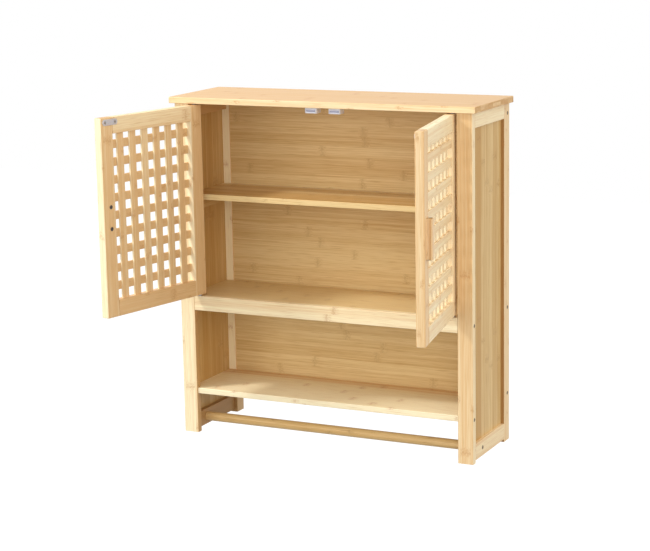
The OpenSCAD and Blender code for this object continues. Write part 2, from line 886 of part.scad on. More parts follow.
top_panel();
front_post_left();
front_post_right();
rear_post_left();
rear_post_right();
side_top_rail_left();
side_top_rail_right();
side_bottom_rail_left();
side_bottom_rail_right();
side_panel_left();
side_panel_right();
back_panel();
hanging_rail();
middle_back_rail();
lower_back_rail();
upper_shelf();
upper_shelf_cleat_left();
upper_shelf_cleat_right();
middle_shelf();
middle_front_rail();
lower_shelf();
towel_bar();
towel_bar_screws();
side_frame_dowels();
top_panel_dowels();
shelf_dowels();
frame_screws();
back_screws();
cleat_screws();
hinge_bushes();
catch_case_left();
catch_case_right();
catch_magnets();
catch_pole_plates();
catch_screws();
left_hinge_stile();
left_free_stile();
left_top_rail();
left_bottom_rail();
left_upright_slats();
left_cross_slats();
left_door_dowels();
left_handle();
left_handle_screws();
left_strike_plate();
left_strike_screws();
left_hinge_pins();
right_hinge_stile();
right_free_stile();
right_top_rail();
right_bottom_rail();
right_upright_slats();
right_cross_slats();
right_door_dowels();
right_handle();
right_handle_screws();
right_strike_plate();
right_strike_screws();
right_hinge_pins();
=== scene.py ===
"""Bamboo wall cabinet with two open lattice doors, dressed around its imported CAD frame.

Pieces are drawn in millimetres, in cabinet coordinates: X runs across the cabinet, Y from the
front faces of the posts to the wall and Z up from the soles of the feet. Doors are drawn shut,
with u from the hinge edge, v from the outer face and the same Z, and are swung about their pins.
"""

import json
import logging
import math
import random
from dataclasses import dataclass, replace
from enum import Enum
from functools import partial
from typing import Iterable, Sequence

import bmesh
import bpy
from mathutils import Matrix, Vector

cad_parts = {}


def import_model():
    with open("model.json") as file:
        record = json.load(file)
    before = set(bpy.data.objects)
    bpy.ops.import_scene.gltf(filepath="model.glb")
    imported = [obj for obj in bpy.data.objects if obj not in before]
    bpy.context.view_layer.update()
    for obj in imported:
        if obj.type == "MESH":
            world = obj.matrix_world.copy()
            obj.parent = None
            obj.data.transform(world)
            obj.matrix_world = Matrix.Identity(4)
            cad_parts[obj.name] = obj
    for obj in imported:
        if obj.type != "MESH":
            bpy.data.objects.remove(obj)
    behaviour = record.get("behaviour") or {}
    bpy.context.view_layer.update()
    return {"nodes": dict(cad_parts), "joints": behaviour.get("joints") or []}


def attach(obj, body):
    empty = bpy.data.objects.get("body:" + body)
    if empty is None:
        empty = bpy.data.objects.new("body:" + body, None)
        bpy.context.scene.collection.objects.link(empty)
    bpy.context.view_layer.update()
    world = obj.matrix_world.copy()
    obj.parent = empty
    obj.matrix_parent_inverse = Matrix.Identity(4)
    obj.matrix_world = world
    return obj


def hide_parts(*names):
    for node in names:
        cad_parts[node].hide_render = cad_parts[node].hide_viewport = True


LOG = logging.getLogger("cabinet")
# Metres in a millimetre: the frame is in metres
MM = 0.001
# Cabinet coordinates of the frame's origin, on the wall between the two wall screw holes
ORIGIN = Vector((0.0, 188.0, 628.0))
IN_FRAME = Matrix.Scale(MM, 4) @ Matrix.Translation(-ORIGIN)
MIRROR = Matrix.Diagonal((-1.0, 1.0, 1.0, 1.0))
# Mesh attributes: a point's place along, across and through its board in metres, and how much
# darker than its finish a face is, painted shade and painted light included
GRAIN, TONE_AND_PAINTED_SHADE = "grain", "tone"
# Edges bent more than this are drawn sharp
SHARP_ANGLE = math.radians(38.0)
# By how far a cutter runs out of the wood, the clearance of a bore, and what counts as touching
PAST, BORE_GAP, NEAR = 2.0, 0.05, 1e-6

Point = tuple[float, float, float]
Flat = tuple[float, float]
BMesh, BMVert = bmesh.types.BMesh, bmesh.types.BMVert
Socket = bpy.types.NodeSocket


class Axis(Enum):
    """Axes along which a board's fibres can run."""

    X = 0
    Y = 1
    Z = 2


class Hand(Enum):
    """Side of the cabinet, with the sign of its X."""

    LEFT = -1
    RIGHT = 1

    @property
    def word(self) -> str:
        """The side's word in piece names."""
        return self.name.lower()

    @property
    def turn(self) -> Matrix:
        """Matrix that takes a piece drawn on the right to this side."""
        return MIRROR if self is Hand.LEFT else Matrix.Identity(4)


# Shapes


def flip(point: Point) -> Point:
    """The point's mirror image on the other side of the cabinet."""
    return (-point[0], point[1], point[2])


def add_object(name: str, data: BMesh | bpy.types.ID) -> bpy.types.Object:
    """Adds an object to the scene.

    Args:
        name: Its name.
        data: Its data, or a mesh under construction, which is freed.

    Returns:
        The object.
    """
    if isinstance(data, BMesh):
        bm, data = data, bpy.data.meshes.new(name)
        bm.to_mesh(data)
        bm.free()
    made = bpy.data.objects.new(name, data)
    bpy.context.scene.collection.objects.link(made)
    return made


def solid(*shapes: "Shape | Screw") -> BMesh:
    """Builds a mesh from shapes.

    Args:
        *shapes: What goes in.

    Returns:
        The mesh.
    """
    bm = bmesh.new()
    for shape in shapes:
        shape.add_to(bm)
    return bm


def merge(source: BMesh, target: BMesh) -> None:
    """Moves one mesh into another, with its attributes, and frees it.

    Args:
        source: Mesh to move.
        target: Mesh that takes it.
    """
    data = bpy.data.meshes.new("part")
    source.to_mesh(data)
    source.free()
    target.from_mesh(data)
    bpy.data.meshes.remove(data)


def carve(bm: BMesh, shapes: Iterable["Shape"]) -> BMesh:
    """Cuts shapes out of a mesh.

    Args:
        bm: Mesh to cut, which is freed.
        shapes: Closed solids to take away.

    Returns:
        The mesh that is left.
    """
    objects = []
    for mesh in (bm, solid(*shapes)):
        bmesh.ops.recalc_face_normals(mesh, faces=mesh.faces)
        objects.append(add_object("carve", mesh))
    change = objects[0].modifiers.new("cut", "BOOLEAN")
    change.operation, change.solver, change.use_self = "DIFFERENCE", "EXACT", True
    change.object = objects[1]
    graph = bpy.context.evaluated_depsgraph_get()
    result = bmesh.new()
    result.from_mesh(objects[0].evaluated_get(graph).to_mesh())
    for made in objects:
        data = made.data
        bpy.data.objects.remove(made)
        bpy.data.meshes.remove(data)
    return result


def arc(middle: Flat, radius: float, first: float, sweep: float, steps: int) -> list[Flat]:
    """Points on an arc, by its middle, radius, first angle and sweep in degrees."""
    angles = [math.radians(first + sweep * i / steps) for i in range(steps + 1)]
    return [(middle[0] + radius * math.cos(a), middle[1] + radius * math.sin(a)) for a in angles]


def prism(outline: Iterable[Point], lift: Point) -> BMesh:
    """Builds a prism.

    Args:
        outline: Corners of its first face.
        lift: Way from there to its other face.

    Returns:
        The mesh.
    """
    bm = bmesh.new()
    face = bm.faces.new([bm.verts.new(corner) for corner in outline])
    made = bmesh.ops.extrude_face_region(bm, geom=[face])["geom"]
    bmesh.ops.translate(bm, verts=[part for part in made if isinstance(part, BMVert)], vec=lift)
    bmesh.ops.recalc_face_normals(bm, faces=bm.faces)
    return bm


def edges_at(bm: BMesh, axis: Axis, level: float) -> list[bmesh.types.BMEdge]:
    """The edges of a mesh that lie at a level."""
    near = lambda vert: abs(vert.co[axis.value] - level) < NEAR
    return [edge for edge in bm.edges if all(near(vert) for vert in edge.verts)]


def soften(bm: BMesh, edges: Sequence[bmesh.types.BMEdge], radius: float, steps: int = 3) -> None:
    """Rounds edges of a mesh."""
    bmesh.ops.bevel(bm, geom=edges, offset=radius, segments=steps, profile=0.5, affect="EDGES")


class Shape:
    """A closed solid that can be added to a mesh, as material or as a cutter."""

    def add_to(self, bm: BMesh) -> list[BMVert]:
        """Adds the solid to a mesh and returns its new vertices."""
        raise NotImplementedError


@dataclass(frozen=True)
class Block(Shape):
    """Rectangular solid between two corners; the taper draws its foot in across X and Y."""

    low: Point
    high: Point
    taper: Flat = (1.0, 1.0)

    def add_to(self, bm: BMesh) -> list[BMVert]:
        """Adds the block to a mesh.

        Args:
            bm: Mesh under construction.

        Returns:
            Its corners.
        """
        made = bmesh.ops.create_cube(bm, size=1.0)["verts"]
        for vert in made:
            taper = (*self.taper, 1.0) if vert.co.z < 0 else (1.0, 1.0, 1.0)
            vert.co = Vector(
                (a + (c + 0.5) * (b - a)) * t
                for a, b, c, t in zip(self.low, self.high, vert.co, taper)
            )
        return made

    def mirrored(self) -> "Block":
        """The block on the other side."""
        low, high = flip(self.low), flip(self.high)
        return Block((high[0], *low[1:]), (low[0], *high[1:]))


@dataclass(frozen=True)
class Aimed:
    """What is drawn round Z at the origin, then turned to a direction at its place."""

    place: Point
    direction: Point

    def rotation(self) -> Matrix:
        """The turn from Z to the direction."""
        return Vector(self.direction).to_track_quat("Z", "Y").to_matrix()

    def mirrored(self) -> "Aimed":
        """The same on the other side."""
        return replace(self, place=flip(self.place), direction=flip(self.direction))


@dataclass(frozen=True)
class Turned(Aimed, Shape):
    """Solid of revolution, from (radius, height) points along its direction."""

    profile: tuple[Flat, ...]
    segments: int = 32

    def add_to(self, bm: BMesh) -> list[BMVert]:
        """Adds the turned solid to a mesh.

        Args:
            bm: Mesh under construction.

        Returns:
            Its vertices.
        """
        turn, place = self.rotation(), Vector(self.place)
        rings: list[list[BMVert]] = []
        for radius, height in self.profile:
            count = self.segments if radius > 0 else 1
            angles = [2 * math.pi * i / count for i in range(count)]
            spots = [(radius * math.cos(a), radius * math.sin(a), height) for a in angles]
            rings.append([bm.verts.new(turn @ Vector(spot) + place) for spot in spots])
        for lower, upper in zip(rings, rings[1:]):
            for i in range(self.segments):
                steps = ((lower, i), (lower, i + 1), (upper, i + 1), (upper, i))
                corners = [ring[step % len(ring)] for ring, step in steps]
                bm.faces.new(list(dict.fromkeys(corners)))
        return [vert for ring in rings for vert in ring]


@dataclass(frozen=True)
class Screw(Aimed):
    """Countersunk wood screw with a cross recess, by its head's middle and outward direction."""

    diameter: float
    length: float

    def hole(self) -> Turned:
        """The screw's own hole, open past its head."""
        radius, head = self.diameter / 2 + BORE_GAP, self.diameter + BORE_GAP
        return Turned(self.place, self.direction, (
            (0.0, -self.length - BORE_GAP), (radius, radius - self.length),
            (radius, -self.diameter / 2), (head, 0.0), (head, PAST), (0.0, PAST),
        ))

    def add_to(self, bm: BMesh) -> None:
        """Adds the screw, with a cut cross recess in its head.

        Args:
            bm: Mesh under construction.
        """
        d = self.diameter
        body = Turned((0, 0, 0), (0, 0, 1), (
            (0.0, -self.length), (d * 0.28, d * 0.5 - self.length), (d * 0.42, -self.length * 0.6),
            (d * 0.5, -self.length * 0.3), (d * 0.5, -d * 0.55), (d * 0.93, -d * 0.1),
            (d * 0.97, -d * 0.05), (d * 0.93, 0.0), (0.0, 0.0),
        ))
        wing, half, depth, taper = d * 0.52, d * 0.1, d * 0.34, 0.45
        part = carve(solid(body), [
            Block((-wing, -half, -depth), (wing, half, PAST), (taper, 1.0)),
            Block((-half, -wing, -depth), (half, wing, PAST), (1.0, taper)),
        ])
        part.transform(Matrix.Translation(self.place) @ self.rotation().to_4x4())
        merge(part, bm)


def rod(start: Point, way: Point, diameter: float, gap: float = BORE_GAP) -> Turned:
    """Round rod or bore.

    Args:
        start: Middle of one end.
        way: From there to the middle of the other end.
        diameter: Diameter of the rod.
        gap: Clearance added all round.

    Returns:
        The rod.
    """
    radius, end = diameter / 2 + gap, Vector(way).length + gap
    profile = ((0, -gap), (radius, -gap), (radius, end), (0, end))
    return Turned(start, tuple(Vector(way).normalized()), profile, 40)


def both(shapes: Iterable[Block | Aimed]) -> list[Block | Aimed]:
    """The shapes, given on the right, and then their mirror images."""
    given = list(shapes)
    return given + [shape.mirrored() for shape in given]


def holes(screws: Iterable[Screw]) -> list[Turned]:
    """The holes of screws."""
    return [screw.hole() for screw in screws]


def clear_start(extent: float, cell: float) -> float:
    """Place in a row of cells at which neither face of a board lies on a border between two."""
    rest = extent % cell
    return (cell - rest) / 2 if rest < cell / 2 else cell - rest / 2


@dataclass(frozen=True)
class Shade:
    """Part of a board with a tone of its own, mostly painted shade or painted light: what faces
    one way, lies in one stretch, or both.
    """

    tone: float
    facing: tuple[Axis, int] | None = None
    span: tuple[Axis, float, float] | None = None

    def cut(self, bm: BMesh) -> None:
        """Cuts the board's faces at the ends of the stretch.

        Args:
            bm: The board's mesh.
        """
        if self.span is None:
            return
        way = Vector([float(i == self.span[0].value) for i in range(3)])
        for place in self.span[1:]:
            parts = [*bm.verts, *bm.edges, *bm.faces]
            bmesh.ops.bisect_plane(bm, geom=parts, plane_co=way * place, plane_no=way)

    def covers(self, face: bmesh.types.BMFace) -> bool:
        """Tells which faces have this tone.

        Args:
            face: A face of the board.

        Returns:
            Whether it has.
        """
        if self.facing and face.normal[self.facing[0].value] * self.facing[1] < 0.5:
            return False
        if self.span is None:
            return True
        axis, low, high = self.span
        return low < face.calc_center_median()[axis.value] < high


@dataclass
class Board:
    """Board with rounded edges, bored and grooved, which carries its own grain.

    Its shades are the parts of it that are darker or lighter than the rest: most are painted shade
    or painted light on faces that face one way, a few are real strips.
    """

    low: Point
    high: Point
    grain: Axis
    cuts: Sequence[Shape] = ()
    edge: float = 0.8
    ends: bool = False
    shades: Sequence[Shade] = ()

    def build(self, finish: "Bamboo", chance: random.Random, tone: float) -> BMesh:
        """Builds the board.

        Args:
            finish: The bamboo it is cut from, for the widths of its strips.
            chance: Source of the place in the plank from which it is cut.
            tone: How much darker than its finish the board is, painted shade and light included.

        Returns:
            Mesh with the grain attribute, and end grain as its second material.
        """
        bm = solid(Block(self.low, self.high))
        if self.edge > 0:
            length = lambda edge: (edge.verts[1].co - edge.verts[0].co)[self.grain.value]
            soften(bm, [e for e in bm.edges if self.ends or abs(length(e)) > NEAR], self.edge)
        if self.cuts:
            bm = carve(bm, self.cuts)
        self.mark_grain(bm, finish, chance, tone)
        return bm

    def mark_grain(
        self, bm: BMesh, finish: "Bamboo", chance: random.Random, tone: float = 0.0
    ) -> None:
        """Writes each point's place along, across and through the board, and each face's tone,
        painted shade and light included.

        Args:
            bm: The board's mesh, in the coordinates of its corners.
            finish: The bamboo it is cut from.
            chance: Source of the place in the plank.
            tone: How much darker than its finish the board is, painted shade and light included.
        """
        along = self.grain.value
        size = [b - a for a, b in zip(self.low, self.high)]
        across, through = sorted((i for i in range(3) if i != along), key=lambda i: -size[i])
        start = Vector((
            chance.uniform(0, 4000),
            finish.strip * chance.randrange(40) + clear_start(size[across], finish.strip),
            finish.layer * chance.randrange(40) + clear_start(size[through], finish.layer),
        ))
        for shade in self.shades:
            shade.cut(bm)
        grain_layer = bm.verts.layers.float_vector.new(GRAIN)
        for vert in bm.verts:
            place = vert.co - Vector(self.low)
            vert[grain_layer] = (
                Vector((place[along], place[across], place[through])) + start
            ) * MM
        tone += chance.uniform(-0.08, 0.08)
        tone_and_shade_layer = bm.faces.layers.float.new(TONE_AND_PAINTED_SHADE)
        for face in bm.faces:
            face.material_index = int(abs(face.normal[along]) > 0.75)
            face[tone_and_shade_layer] = tone + sum(s.tone for s in self.shades if s.covers(face))


# Finishes


def linear(code: str) -> tuple[float, float, float, float]:
    """Turns an sRGB hex colour, such as "#e6c48c", to linear red, green, blue and alpha."""
    channels = [int(code[i : i + 2], 16) / 255 for i in (1, 3, 5)]
    return (*(c / 12.92 if c <= 0.04045 else ((c + 0.055) / 1.055) ** 2.4 for c in channels), 1.0)


def add_node(
    tree: bpy.types.NodeTree, kind: str, links: dict | None = None, **settings: object
) -> bpy.types.Node:
    """Adds a node with its settings, values and links.

    Args:
        tree: Node tree that takes it.
        kind: Node type, without the ShaderNode in front.
        links: For each input, a value or the output socket that feeds it.
        **settings: Properties of the node.

    Returns:
        The new node.
    """
    node = tree.nodes.new("ShaderNode" + kind)
    for key, value in settings.items():
        setattr(node, key, value)
    for key, value in (links or {}).items():
        if isinstance(value, Socket):
            tree.links.new(value, node.inputs[key])
        else:
            node.inputs[key].default_value = value
    return node


class Graph:
    """Node tree under construction, with short forms of the nodes that it uses most."""

    def __init__(self, owner: bpy.types.Material | bpy.types.World) -> None:
        """Empties the owner's node tree.

        Args:
            owner: What the nodes are for.
        """
        owner.use_nodes = True
        owner.node_tree.nodes.clear()
        self.add = partial(add_node, owner.node_tree)

    def out(self, kind: str, links: dict, port: int | str = 0, **settings: object) -> Socket:
        """Adds a node and returns one of its outputs."""
        return self.add(kind, links, **settings).outputs[port]

    def math(self, operation: str, *values: Socket | float, **settings: object) -> Socket:
        """Adds a sum on numbers."""
        return self.out("Math", dict(enumerate(values)), operation=operation, **settings)

    def vector(self, operation: str, *values: Socket | Point) -> Socket:
        """Adds a sum on vectors."""
        return self.out("VectorMath", dict(enumerate(values)), operation=operation)

    def remap(self, value: Socket, source: Flat, target: Flat, **settings: object) -> Socket:
        """Adds a change of range, held at its ends."""
        return self.out("MapRange", dict(enumerate((value, *source, *target))), **settings)

    def mix(self, share: Socket, first: Socket | str, second: str) -> Socket:
        """Adds a mix of two colours, the first of which can be a socket."""
        first = linear(first) if isinstance(first, str) else first
        return self.out("Mix", {0: share, 6: first, 7: linear(second)}, 2, data_type="RGBA")

    def stain(self, base: Socket, mask: Socket, depth: Socket | float, colour: str) -> Socket:
        """Adds a stain of a colour on a base, where the mask is, as deep as the depth."""
        return self.mix(self.math("MULTIPLY", mask, depth), base, colour)

    def noise(self, place: Socket, scale: float, detail: float, roughness: float = 0.5) -> Socket:
        """Adds noise round 0.5."""
        values = {"Vector": place, "Scale": scale, "Detail": detail, "Roughness": roughness}
        return self.out("TexNoise", values, "Fac")

    def surface(
        self, finish: "Finish", colour: Socket, gloss: Socket, relief: Socket,
        **extras: float,
    ) -> None:
        """Adds the surface and the output.

        Args:
            finish: Finish with the roughness, and with how far it and the relief vary.
            colour: Colour of the surface.
            gloss: Pattern round 0.5 that varies the roughness.
            relief: Height of the surface, round 0.5.
            **extras: Further values of the shader, with _ for each space.
        """
        smoother, rougher, strength, height = finish.texture
        ends = (finish.roughness - smoother, finish.roughness + rougher)
        shader = self.out("BsdfPrincipled", {
            "Base Color": colour, "Roughness": self.remap(gloss, (0.3, 0.7), ends), "IOR": 1.5,
            "Normal": self.out("Bump", {
                "Height": relief, "Strength": strength, "Distance": height * MM
            }),
            **{key.replace("_", " "): value for key, value in extras.items()},
        })
        self.add("OutputMaterial", {0: shader})


class Streak(Enum):
    """Noise drawn out along the fibres: its length and width in mm, its detail and its offset."""

    # Turns fibres aside round a knuckle, and makes the knuckle's line jagged
    SWIRL = (8.0, 5.0, 2.0, 5.1)
    JAG = (60.0, 2.4, 1.0, 8.8)
    # Broad bands of tone; fibre bundles, drawn 1.8 mm wide so that they show; fine fibres
    BROAD = (500.0, 6.0, 2.0, 1.3)
    BUNDLE = (170.0, 1.8, 3.0, 2.9)
    FINE = (50.0, 0.6, 2.0, 7.7)
    # Short dark fibres, and the speckles of a knuckle
    DASH = (45.0, 1.2, 1.0, 17.7)
    FLECK = (6.0, 1.8, 2.0, 9.3)


@dataclass(frozen=True)
class Finish:
    """What every finish has: its name, the record's slot that it fills and its roughness."""

    name: str
    slot: str
    roughness: float


@dataclass(frozen=True)
class Bamboo(Finish):
    """Laminated bamboo, planed, sanded and sealed with a clear satin lacquer.

    The eye sees strips that differ a little in tone, long fine fibres, and across each strip,
    every hand's breadth or two, the speckled darker band of a knuckle.
    """

    light: str
    dark: str
    fibre: str
    knuckle: str
    end_light: str
    end_dark: str
    # Width and thickness of the strips the board is pressed from, in mm
    strip: float = 20.0
    layer: float = 6.0
    # How far the tone runs from light to dark by strip, by broad streak and by fibre bundle
    strip_tone: float = 0.4
    streak_tone: float = 0.9
    fibre_tone: float = 1.2
    seam_depth: float = 0.2
    # Distance between knuckles in one strip, in mm
    knuckle_pitch: float = 330.0
    knuckle_depth: float = 0.45
    # How far the roughness falls and rises; strength and height in mm of the relief
    texture: tuple[float, ...] = (0.06, 0.08, 0.35, 0.12)

    def materials(self) -> list[bpy.types.Material]:
        """Makes the materials.

        Returns:
            Long grain and end grain, in the order of a board's faces.
        """
        long, end = (bpy.data.materials.new(self.name + part) for part in ("", "_end"))
        BambooGraph(long, self).draw_long_grain()
        BambooGraph(end, self).draw_end_grain()
        return [long, end]


class BambooGraph(Graph):
    """Nodes of a bamboo material, with each point's place in its board and strip."""

    # Each range of a value, and what it turns to. Faces a good deal darker or paler than the
    # finish go on past its ends: the gamma and the strength of their colour, by their tone. Most
    # faces past the dark end carry painted shade; past the pale end, painted light or a real pale
    # strip
    DEEP = (1.0, 2.6), (1.0, 1.6)
    PALE = (-2.2, -1.3), (0.7, 1.0)
    DIM = (0.8, 2.6), (1.0, 0.55)
    # How deep short dark fibres, a knuckle's flecks and the dots of end grain are, by their noise
    DASH = (0.58, 0.8), (0.0, 0.6)
    FLECK = (0.42, 0.68), (0.08, 0.8)
    DOT = (0.18, 0.42), (0.8, 0.0)
    # How far a knuckle's halo and its line wander, and where each is full and gone, in mm
    HALO, LINE = (8.0, (2.0, 12.0)), (11.0, (0.3, 3.2))
    LINE_DEPTH = 0.7
    # How far fibres turn aside at a knuckle, in mm
    ASIDE = 14.0
    # Half the width at which a glue line is full and at which it is gone, in mm
    SEAM = (0.06, 0.3)
    SEAM_RELIEF, KNUCKLE_RELIEF = -0.6, -0.5
    # Fibre bundles and clouds of them in each mm of end grain
    END_DOTS, END_CLOUDS = 1.1, 0.22

    def __init__(self, owner: bpy.types.Material, finish: Bamboo) -> None:
        """Adds the nodes that find a point's place, in mm, and its strip and layer.

        Args:
            owner: Material to fill.
            finish: The bamboo.
        """
        super().__init__(owner)
        self.finish = finish
        grain = self.out("Attribute", {}, "Vector", attribute_name=GRAIN)
        self.place = self.vector("MULTIPLY", grain, (1 / MM,) * 3)
        parts = self.add("SeparateXYZ", {0: self.place}).outputs
        self.along = parts[0]
        self.strip = self.math("DIVIDE", parts[1], finish.strip)
        self.layer = self.math("DIVIDE", parts[2], finish.layer)
        cell = {0: self.math("FLOOR", self.strip), 1: self.math("FLOOR", self.layer), 2: 3.7}
        noise = self.add(
            "TexWhiteNoise", {"Vector": self.out("CombineXYZ", cell)}, noise_dimensions="3D"
        ).outputs
        self.chance = noise["Value"]
        self.tint = self.add("SeparateColor", {0: noise["Color"]}).outputs

    def streaks(self, streak: Streak, place: Socket) -> Socket:
        """Adds one kind of streak.

        Args:
            streak: Which.
            place: Place in the board, in mm.

        Returns:
            Socket with a value round 0.5.
        """
        length, width, detail, seed = streak.value
        sizes, offset = (1 / length, 1 / width, 1 / width), (seed, seed * 1.7, seed * 0.6)
        return self.noise(self.vector("MULTIPLY_ADD", place, sizes, offset), 1.0, detail, 0.55)

    def knuckle_band(self, ragged: Socket, reach: float, edge: Flat) -> Socket:
        """Adds a band across the strip at each of its knuckles.

        Args:
            ragged: Noise that makes the band ragged.
            reach: How far the noise moves the band, in mm.
            edge: Distances from the middle at which the band is full and gone, in mm.

        Returns:
            Socket that is 1 in the band and 0 off it.
        """
        pitch = self.finish.knuckle_pitch
        shift = self.math("MULTIPLY_ADD", self.tint[1], pitch, self.along)
        bent = self.math("MULTIPLY_ADD", ragged, reach, shift)
        away = self.math("PINGPONG", bent, pitch / 2)
        return self.remap(away, edge, (1.0, 0.0), interpolation_type="SMOOTHSTEP")

    def seams(self) -> Socket:
        """Adds the glue lines between strips.

        Returns:
            Socket that is 1 on a glue line and 0 off it.
        """
        lines = []
        for cell, size in ((self.strip, self.finish.strip), (self.layer, self.finish.layer)):
            edge = tuple(width / size for width in self.SEAM)
            lines.append(self.remap(self.math("PINGPONG", cell, 0.5), edge, (1.0, 0.0)))
        return self.math("MAXIMUM", *lines)

    def draw_long_grain(self) -> None:
        """Draws the faces that run along the fibres."""
        finish = self.finish
        # Each strip has its own row of knuckles: a jagged dark line in a speckled halo
        swirl = self.streaks(Streak.SWIRL, self.place)
        near = self.knuckle_band(swirl, *self.HALO)
        line = self.knuckle_band(self.streaks(Streak.JAG, self.place), *self.LINE)
        aside = self.math("MULTIPLY", self.math("SUBTRACT", swirl, 0.5), near)
        aside = self.math("MULTIPLY", aside, self.ASIDE)
        place = self.vector("ADD", self.place, self.out("CombineXYZ", {1: aside, 2: aside}))
        broad, bundle, fine, dash, fleck = (
            self.streaks(streak, place) for streak in
            (Streak.BROAD, Streak.BUNDLE, Streak.FINE, Streak.DASH, Streak.FLECK)
        )
        tone = self.math(
            "MULTIPLY_ADD", self.chance, finish.strip_tone, 0.5 - finish.strip_tone / 2
        )
        # The face's tone, which carries painted shade and painted light as well as the board's own
        # tone
        board = self.out("Attribute", {}, "Fac", attribute_name=TONE_AND_PAINTED_SHADE)
        tone = self.math("ADD", tone, board)
        shares = (finish.streak_tone, finish.fibre_tone, finish.fibre_tone / 2)
        for source, share in zip((broad, bundle, fine), shares):
            rest = self.math("SUBTRACT", tone, share / 2)
            tone = self.math("MULTIPLY_ADD", source, share, rest)
        base = self.mix(tone, finish.light, finish.dark)
        # Faces with painted shade go darker, and those with painted light paler, past the finish's
        # ends
        deep, pale = self.remap(board, *self.DEEP), self.remap(board, *self.PALE)
        base = self.out("Gamma", {0: base, 1: self.math("MULTIPLY", deep, pale)})
        strength = self.remap(board, *self.DIM)
        base = self.out("VectorMath", {0: base, "Scale": strength}, operation="SCALE")
        base = self.mix(self.remap(dash, *self.DASH), base, finish.fibre)
        flecks = self.remap(fleck, *self.FLECK)
        knuckle = self.math(
            "MAXIMUM", self.math("MULTIPLY", near, flecks),
            self.math("MULTIPLY", line, self.LINE_DEPTH),
        )
        seam = self.seams()
        base = self.stain(base, knuckle, finish.knuckle_depth, finish.knuckle)
        base = self.stain(base, seam, finish.seam_depth, finish.fibre)
        relief = self.math("MULTIPLY_ADD", seam, self.SEAM_RELIEF, fine)
        relief = self.math("MULTIPLY_ADD", knuckle, self.KNUCKLE_RELIEF, relief)
        self.lacquer(base, broad, relief)

    def draw_end_grain(self) -> None:
        """Draws sawn ends: the dark dots of cut fibre bundles, denser in some strips."""
        finish = self.finish
        flat = self.vector("MULTIPLY", self.place, (0.02, 1.0, 1.0))
        dots = self.out("TexVoronoi", {
            "Vector": flat, "Scale": self.END_DOTS, "Randomness": 0.9
        }, "Distance", feature="F1")
        cloud = self.noise(flat, self.END_CLOUDS, 3.0)
        tone = self.math("MULTIPLY_ADD", self.tint[0], 0.75, 0.1)
        tone = self.math("MULTIPLY_ADD", cloud, 0.5, tone, use_clamp=True)
        base = self.mix(tone, finish.end_light, finish.end_dark)
        base = self.stain(base, self.remap(dots, *self.DOT), tone, finish.knuckle)
        seam = self.seams()
        base = self.stain(base, seam, 0.5, finish.knuckle)
        self.lacquer(base, cloud, self.math("MULTIPLY_ADD", seam, self.SEAM_RELIEF, dots))

    def lacquer(self, colour: Socket, gloss: Socket, relief: Socket) -> None:
        """Adds the satin surface: sanded lacquer soaks in, so only a trace of it lies on top."""
        coat = {"Specular_IOR_Level": 0.2, "Coat_Weight": 0.04, "Coat_Roughness": 0.3}
        self.surface(self.finish, colour, gloss, relief, **coat)


@dataclass(frozen=True)
class Fitting(Finish):
    """Metal, plastic or ferrite of the fittings.

    Zinc plating leaves a fine, slightly mottled satin and brass faint turning marks; what is
    moulded or pressed has an even colour with the fine texture of its mould.
    """

    colour: str
    shade: str
    # Size in mm and detail of the mottling, and size of the fine marks
    mottle: float = 2.5
    detail: float = 3.0
    marks: float = 0.25
    metallic: float = 1.0
    texture: tuple[float, ...] = (0.07, 0.1, 0.25, 0.03)

    def materials(self) -> list[bpy.types.Material]:
        """Makes the material.

        Returns:
            A list of one material.
        """
        material = bpy.data.materials.new(self.name)
        graph = Graph(material)
        place = graph.vector("MULTIPLY", graph.out("TexCoord", {}, "Object"), (1 / MM,) * 3)
        cloud = graph.noise(place, 1 / self.mottle, self.detail)
        fine = graph.noise(place, 1 / self.marks, 2.0)
        colour = graph.mix(cloud, self.colour, self.shade)
        gloss = cloud if self.metallic else fine
        graph.surface(self, colour, gloss, fine, Metallic=self.metallic)
        return [material]


# Boards darker or, below 0, lighter than their finish. Partly real tone, as no two boards of a
# cabinet match, and partly painted shade and painted light: the left side's rails and panel, the
# left door's cross slats and the upper shelf are painted darker where they stand in shade; the
# middle and lower shelves and several front faces are painted lighter where light falls on them
BOARD_TONES_AND_PAINTED_SHADE = {
    "front_post_left": -0.25, "front_post_right": 0.15, "rear_post_left": -0.7,
    "rear_post_right": 0.15, "side_top_rail_right": -0.25, "side_bottom_rail_right": 0.1,
    "side_bottom_rail_left": 2.1, "side_top_rail_left": 1.3, "top_panel": 1.15,
    "back_panel": -0.3, "side_panel_left": 0.45, "side_panel_right": 0.3, "upper_shelf": 0.5,
    "middle_shelf": -1.25, "lower_shelf": -1.2, "middle_front_rail": -0.2,
    "left_hinge_stile": 0.35, "left_free_stile": 0.45, "left_bottom_rail": 0.7,
    "left_upright_slats": 0.35, "left_cross_slats": 0.95, "right_free_stile": 0.5,
    "right_top_rail": -0.35, "right_bottom_rail": -0.2,
}

# Natural bamboo of the frame: cream strips with tan fibres
PALE = Bamboo(
    "bamboo_pale", "bamboo", 0.42, light="#f9e8bf", dark="#e3bb86", fibre="#c99a5e",
    knuckle="#b97c42", end_light="#efd09c", end_dark="#c99a5e", knuckle_depth=0.55,
)
# The same bamboo in the back and shelves, a shade warmer, its strips less alike
WARM = Bamboo(
    "bamboo_warm", "bamboo_inside", 0.42, light="#e4c78f", dark="#c29758", fibre="#b07f43",
    knuckle="#9a6a34", end_light="#d8b67c", end_dark="#b3874b", strip_tone=0.45,
    fibre_tone=1.5, knuckle_depth=0.34,
)
# The side panels: their strips still less alike, and the glue lines show
PANEL = replace(WARM, name="bamboo_panel", strip_tone=0.8, seam_depth=0.5, fibre_tone=1.6)
# Handles: narrower strips, a little pinker
HANDLE = Bamboo(
    "bamboo_handle", "bamboo_handle", 0.42, light="#f1d2a6", dark="#dcb37e", fibre="#c09058",
    knuckle="#a67c4a", end_light="#d9b27c", end_dark="#b98a52", strip=9.0, knuckle_pitch=190.0,
)
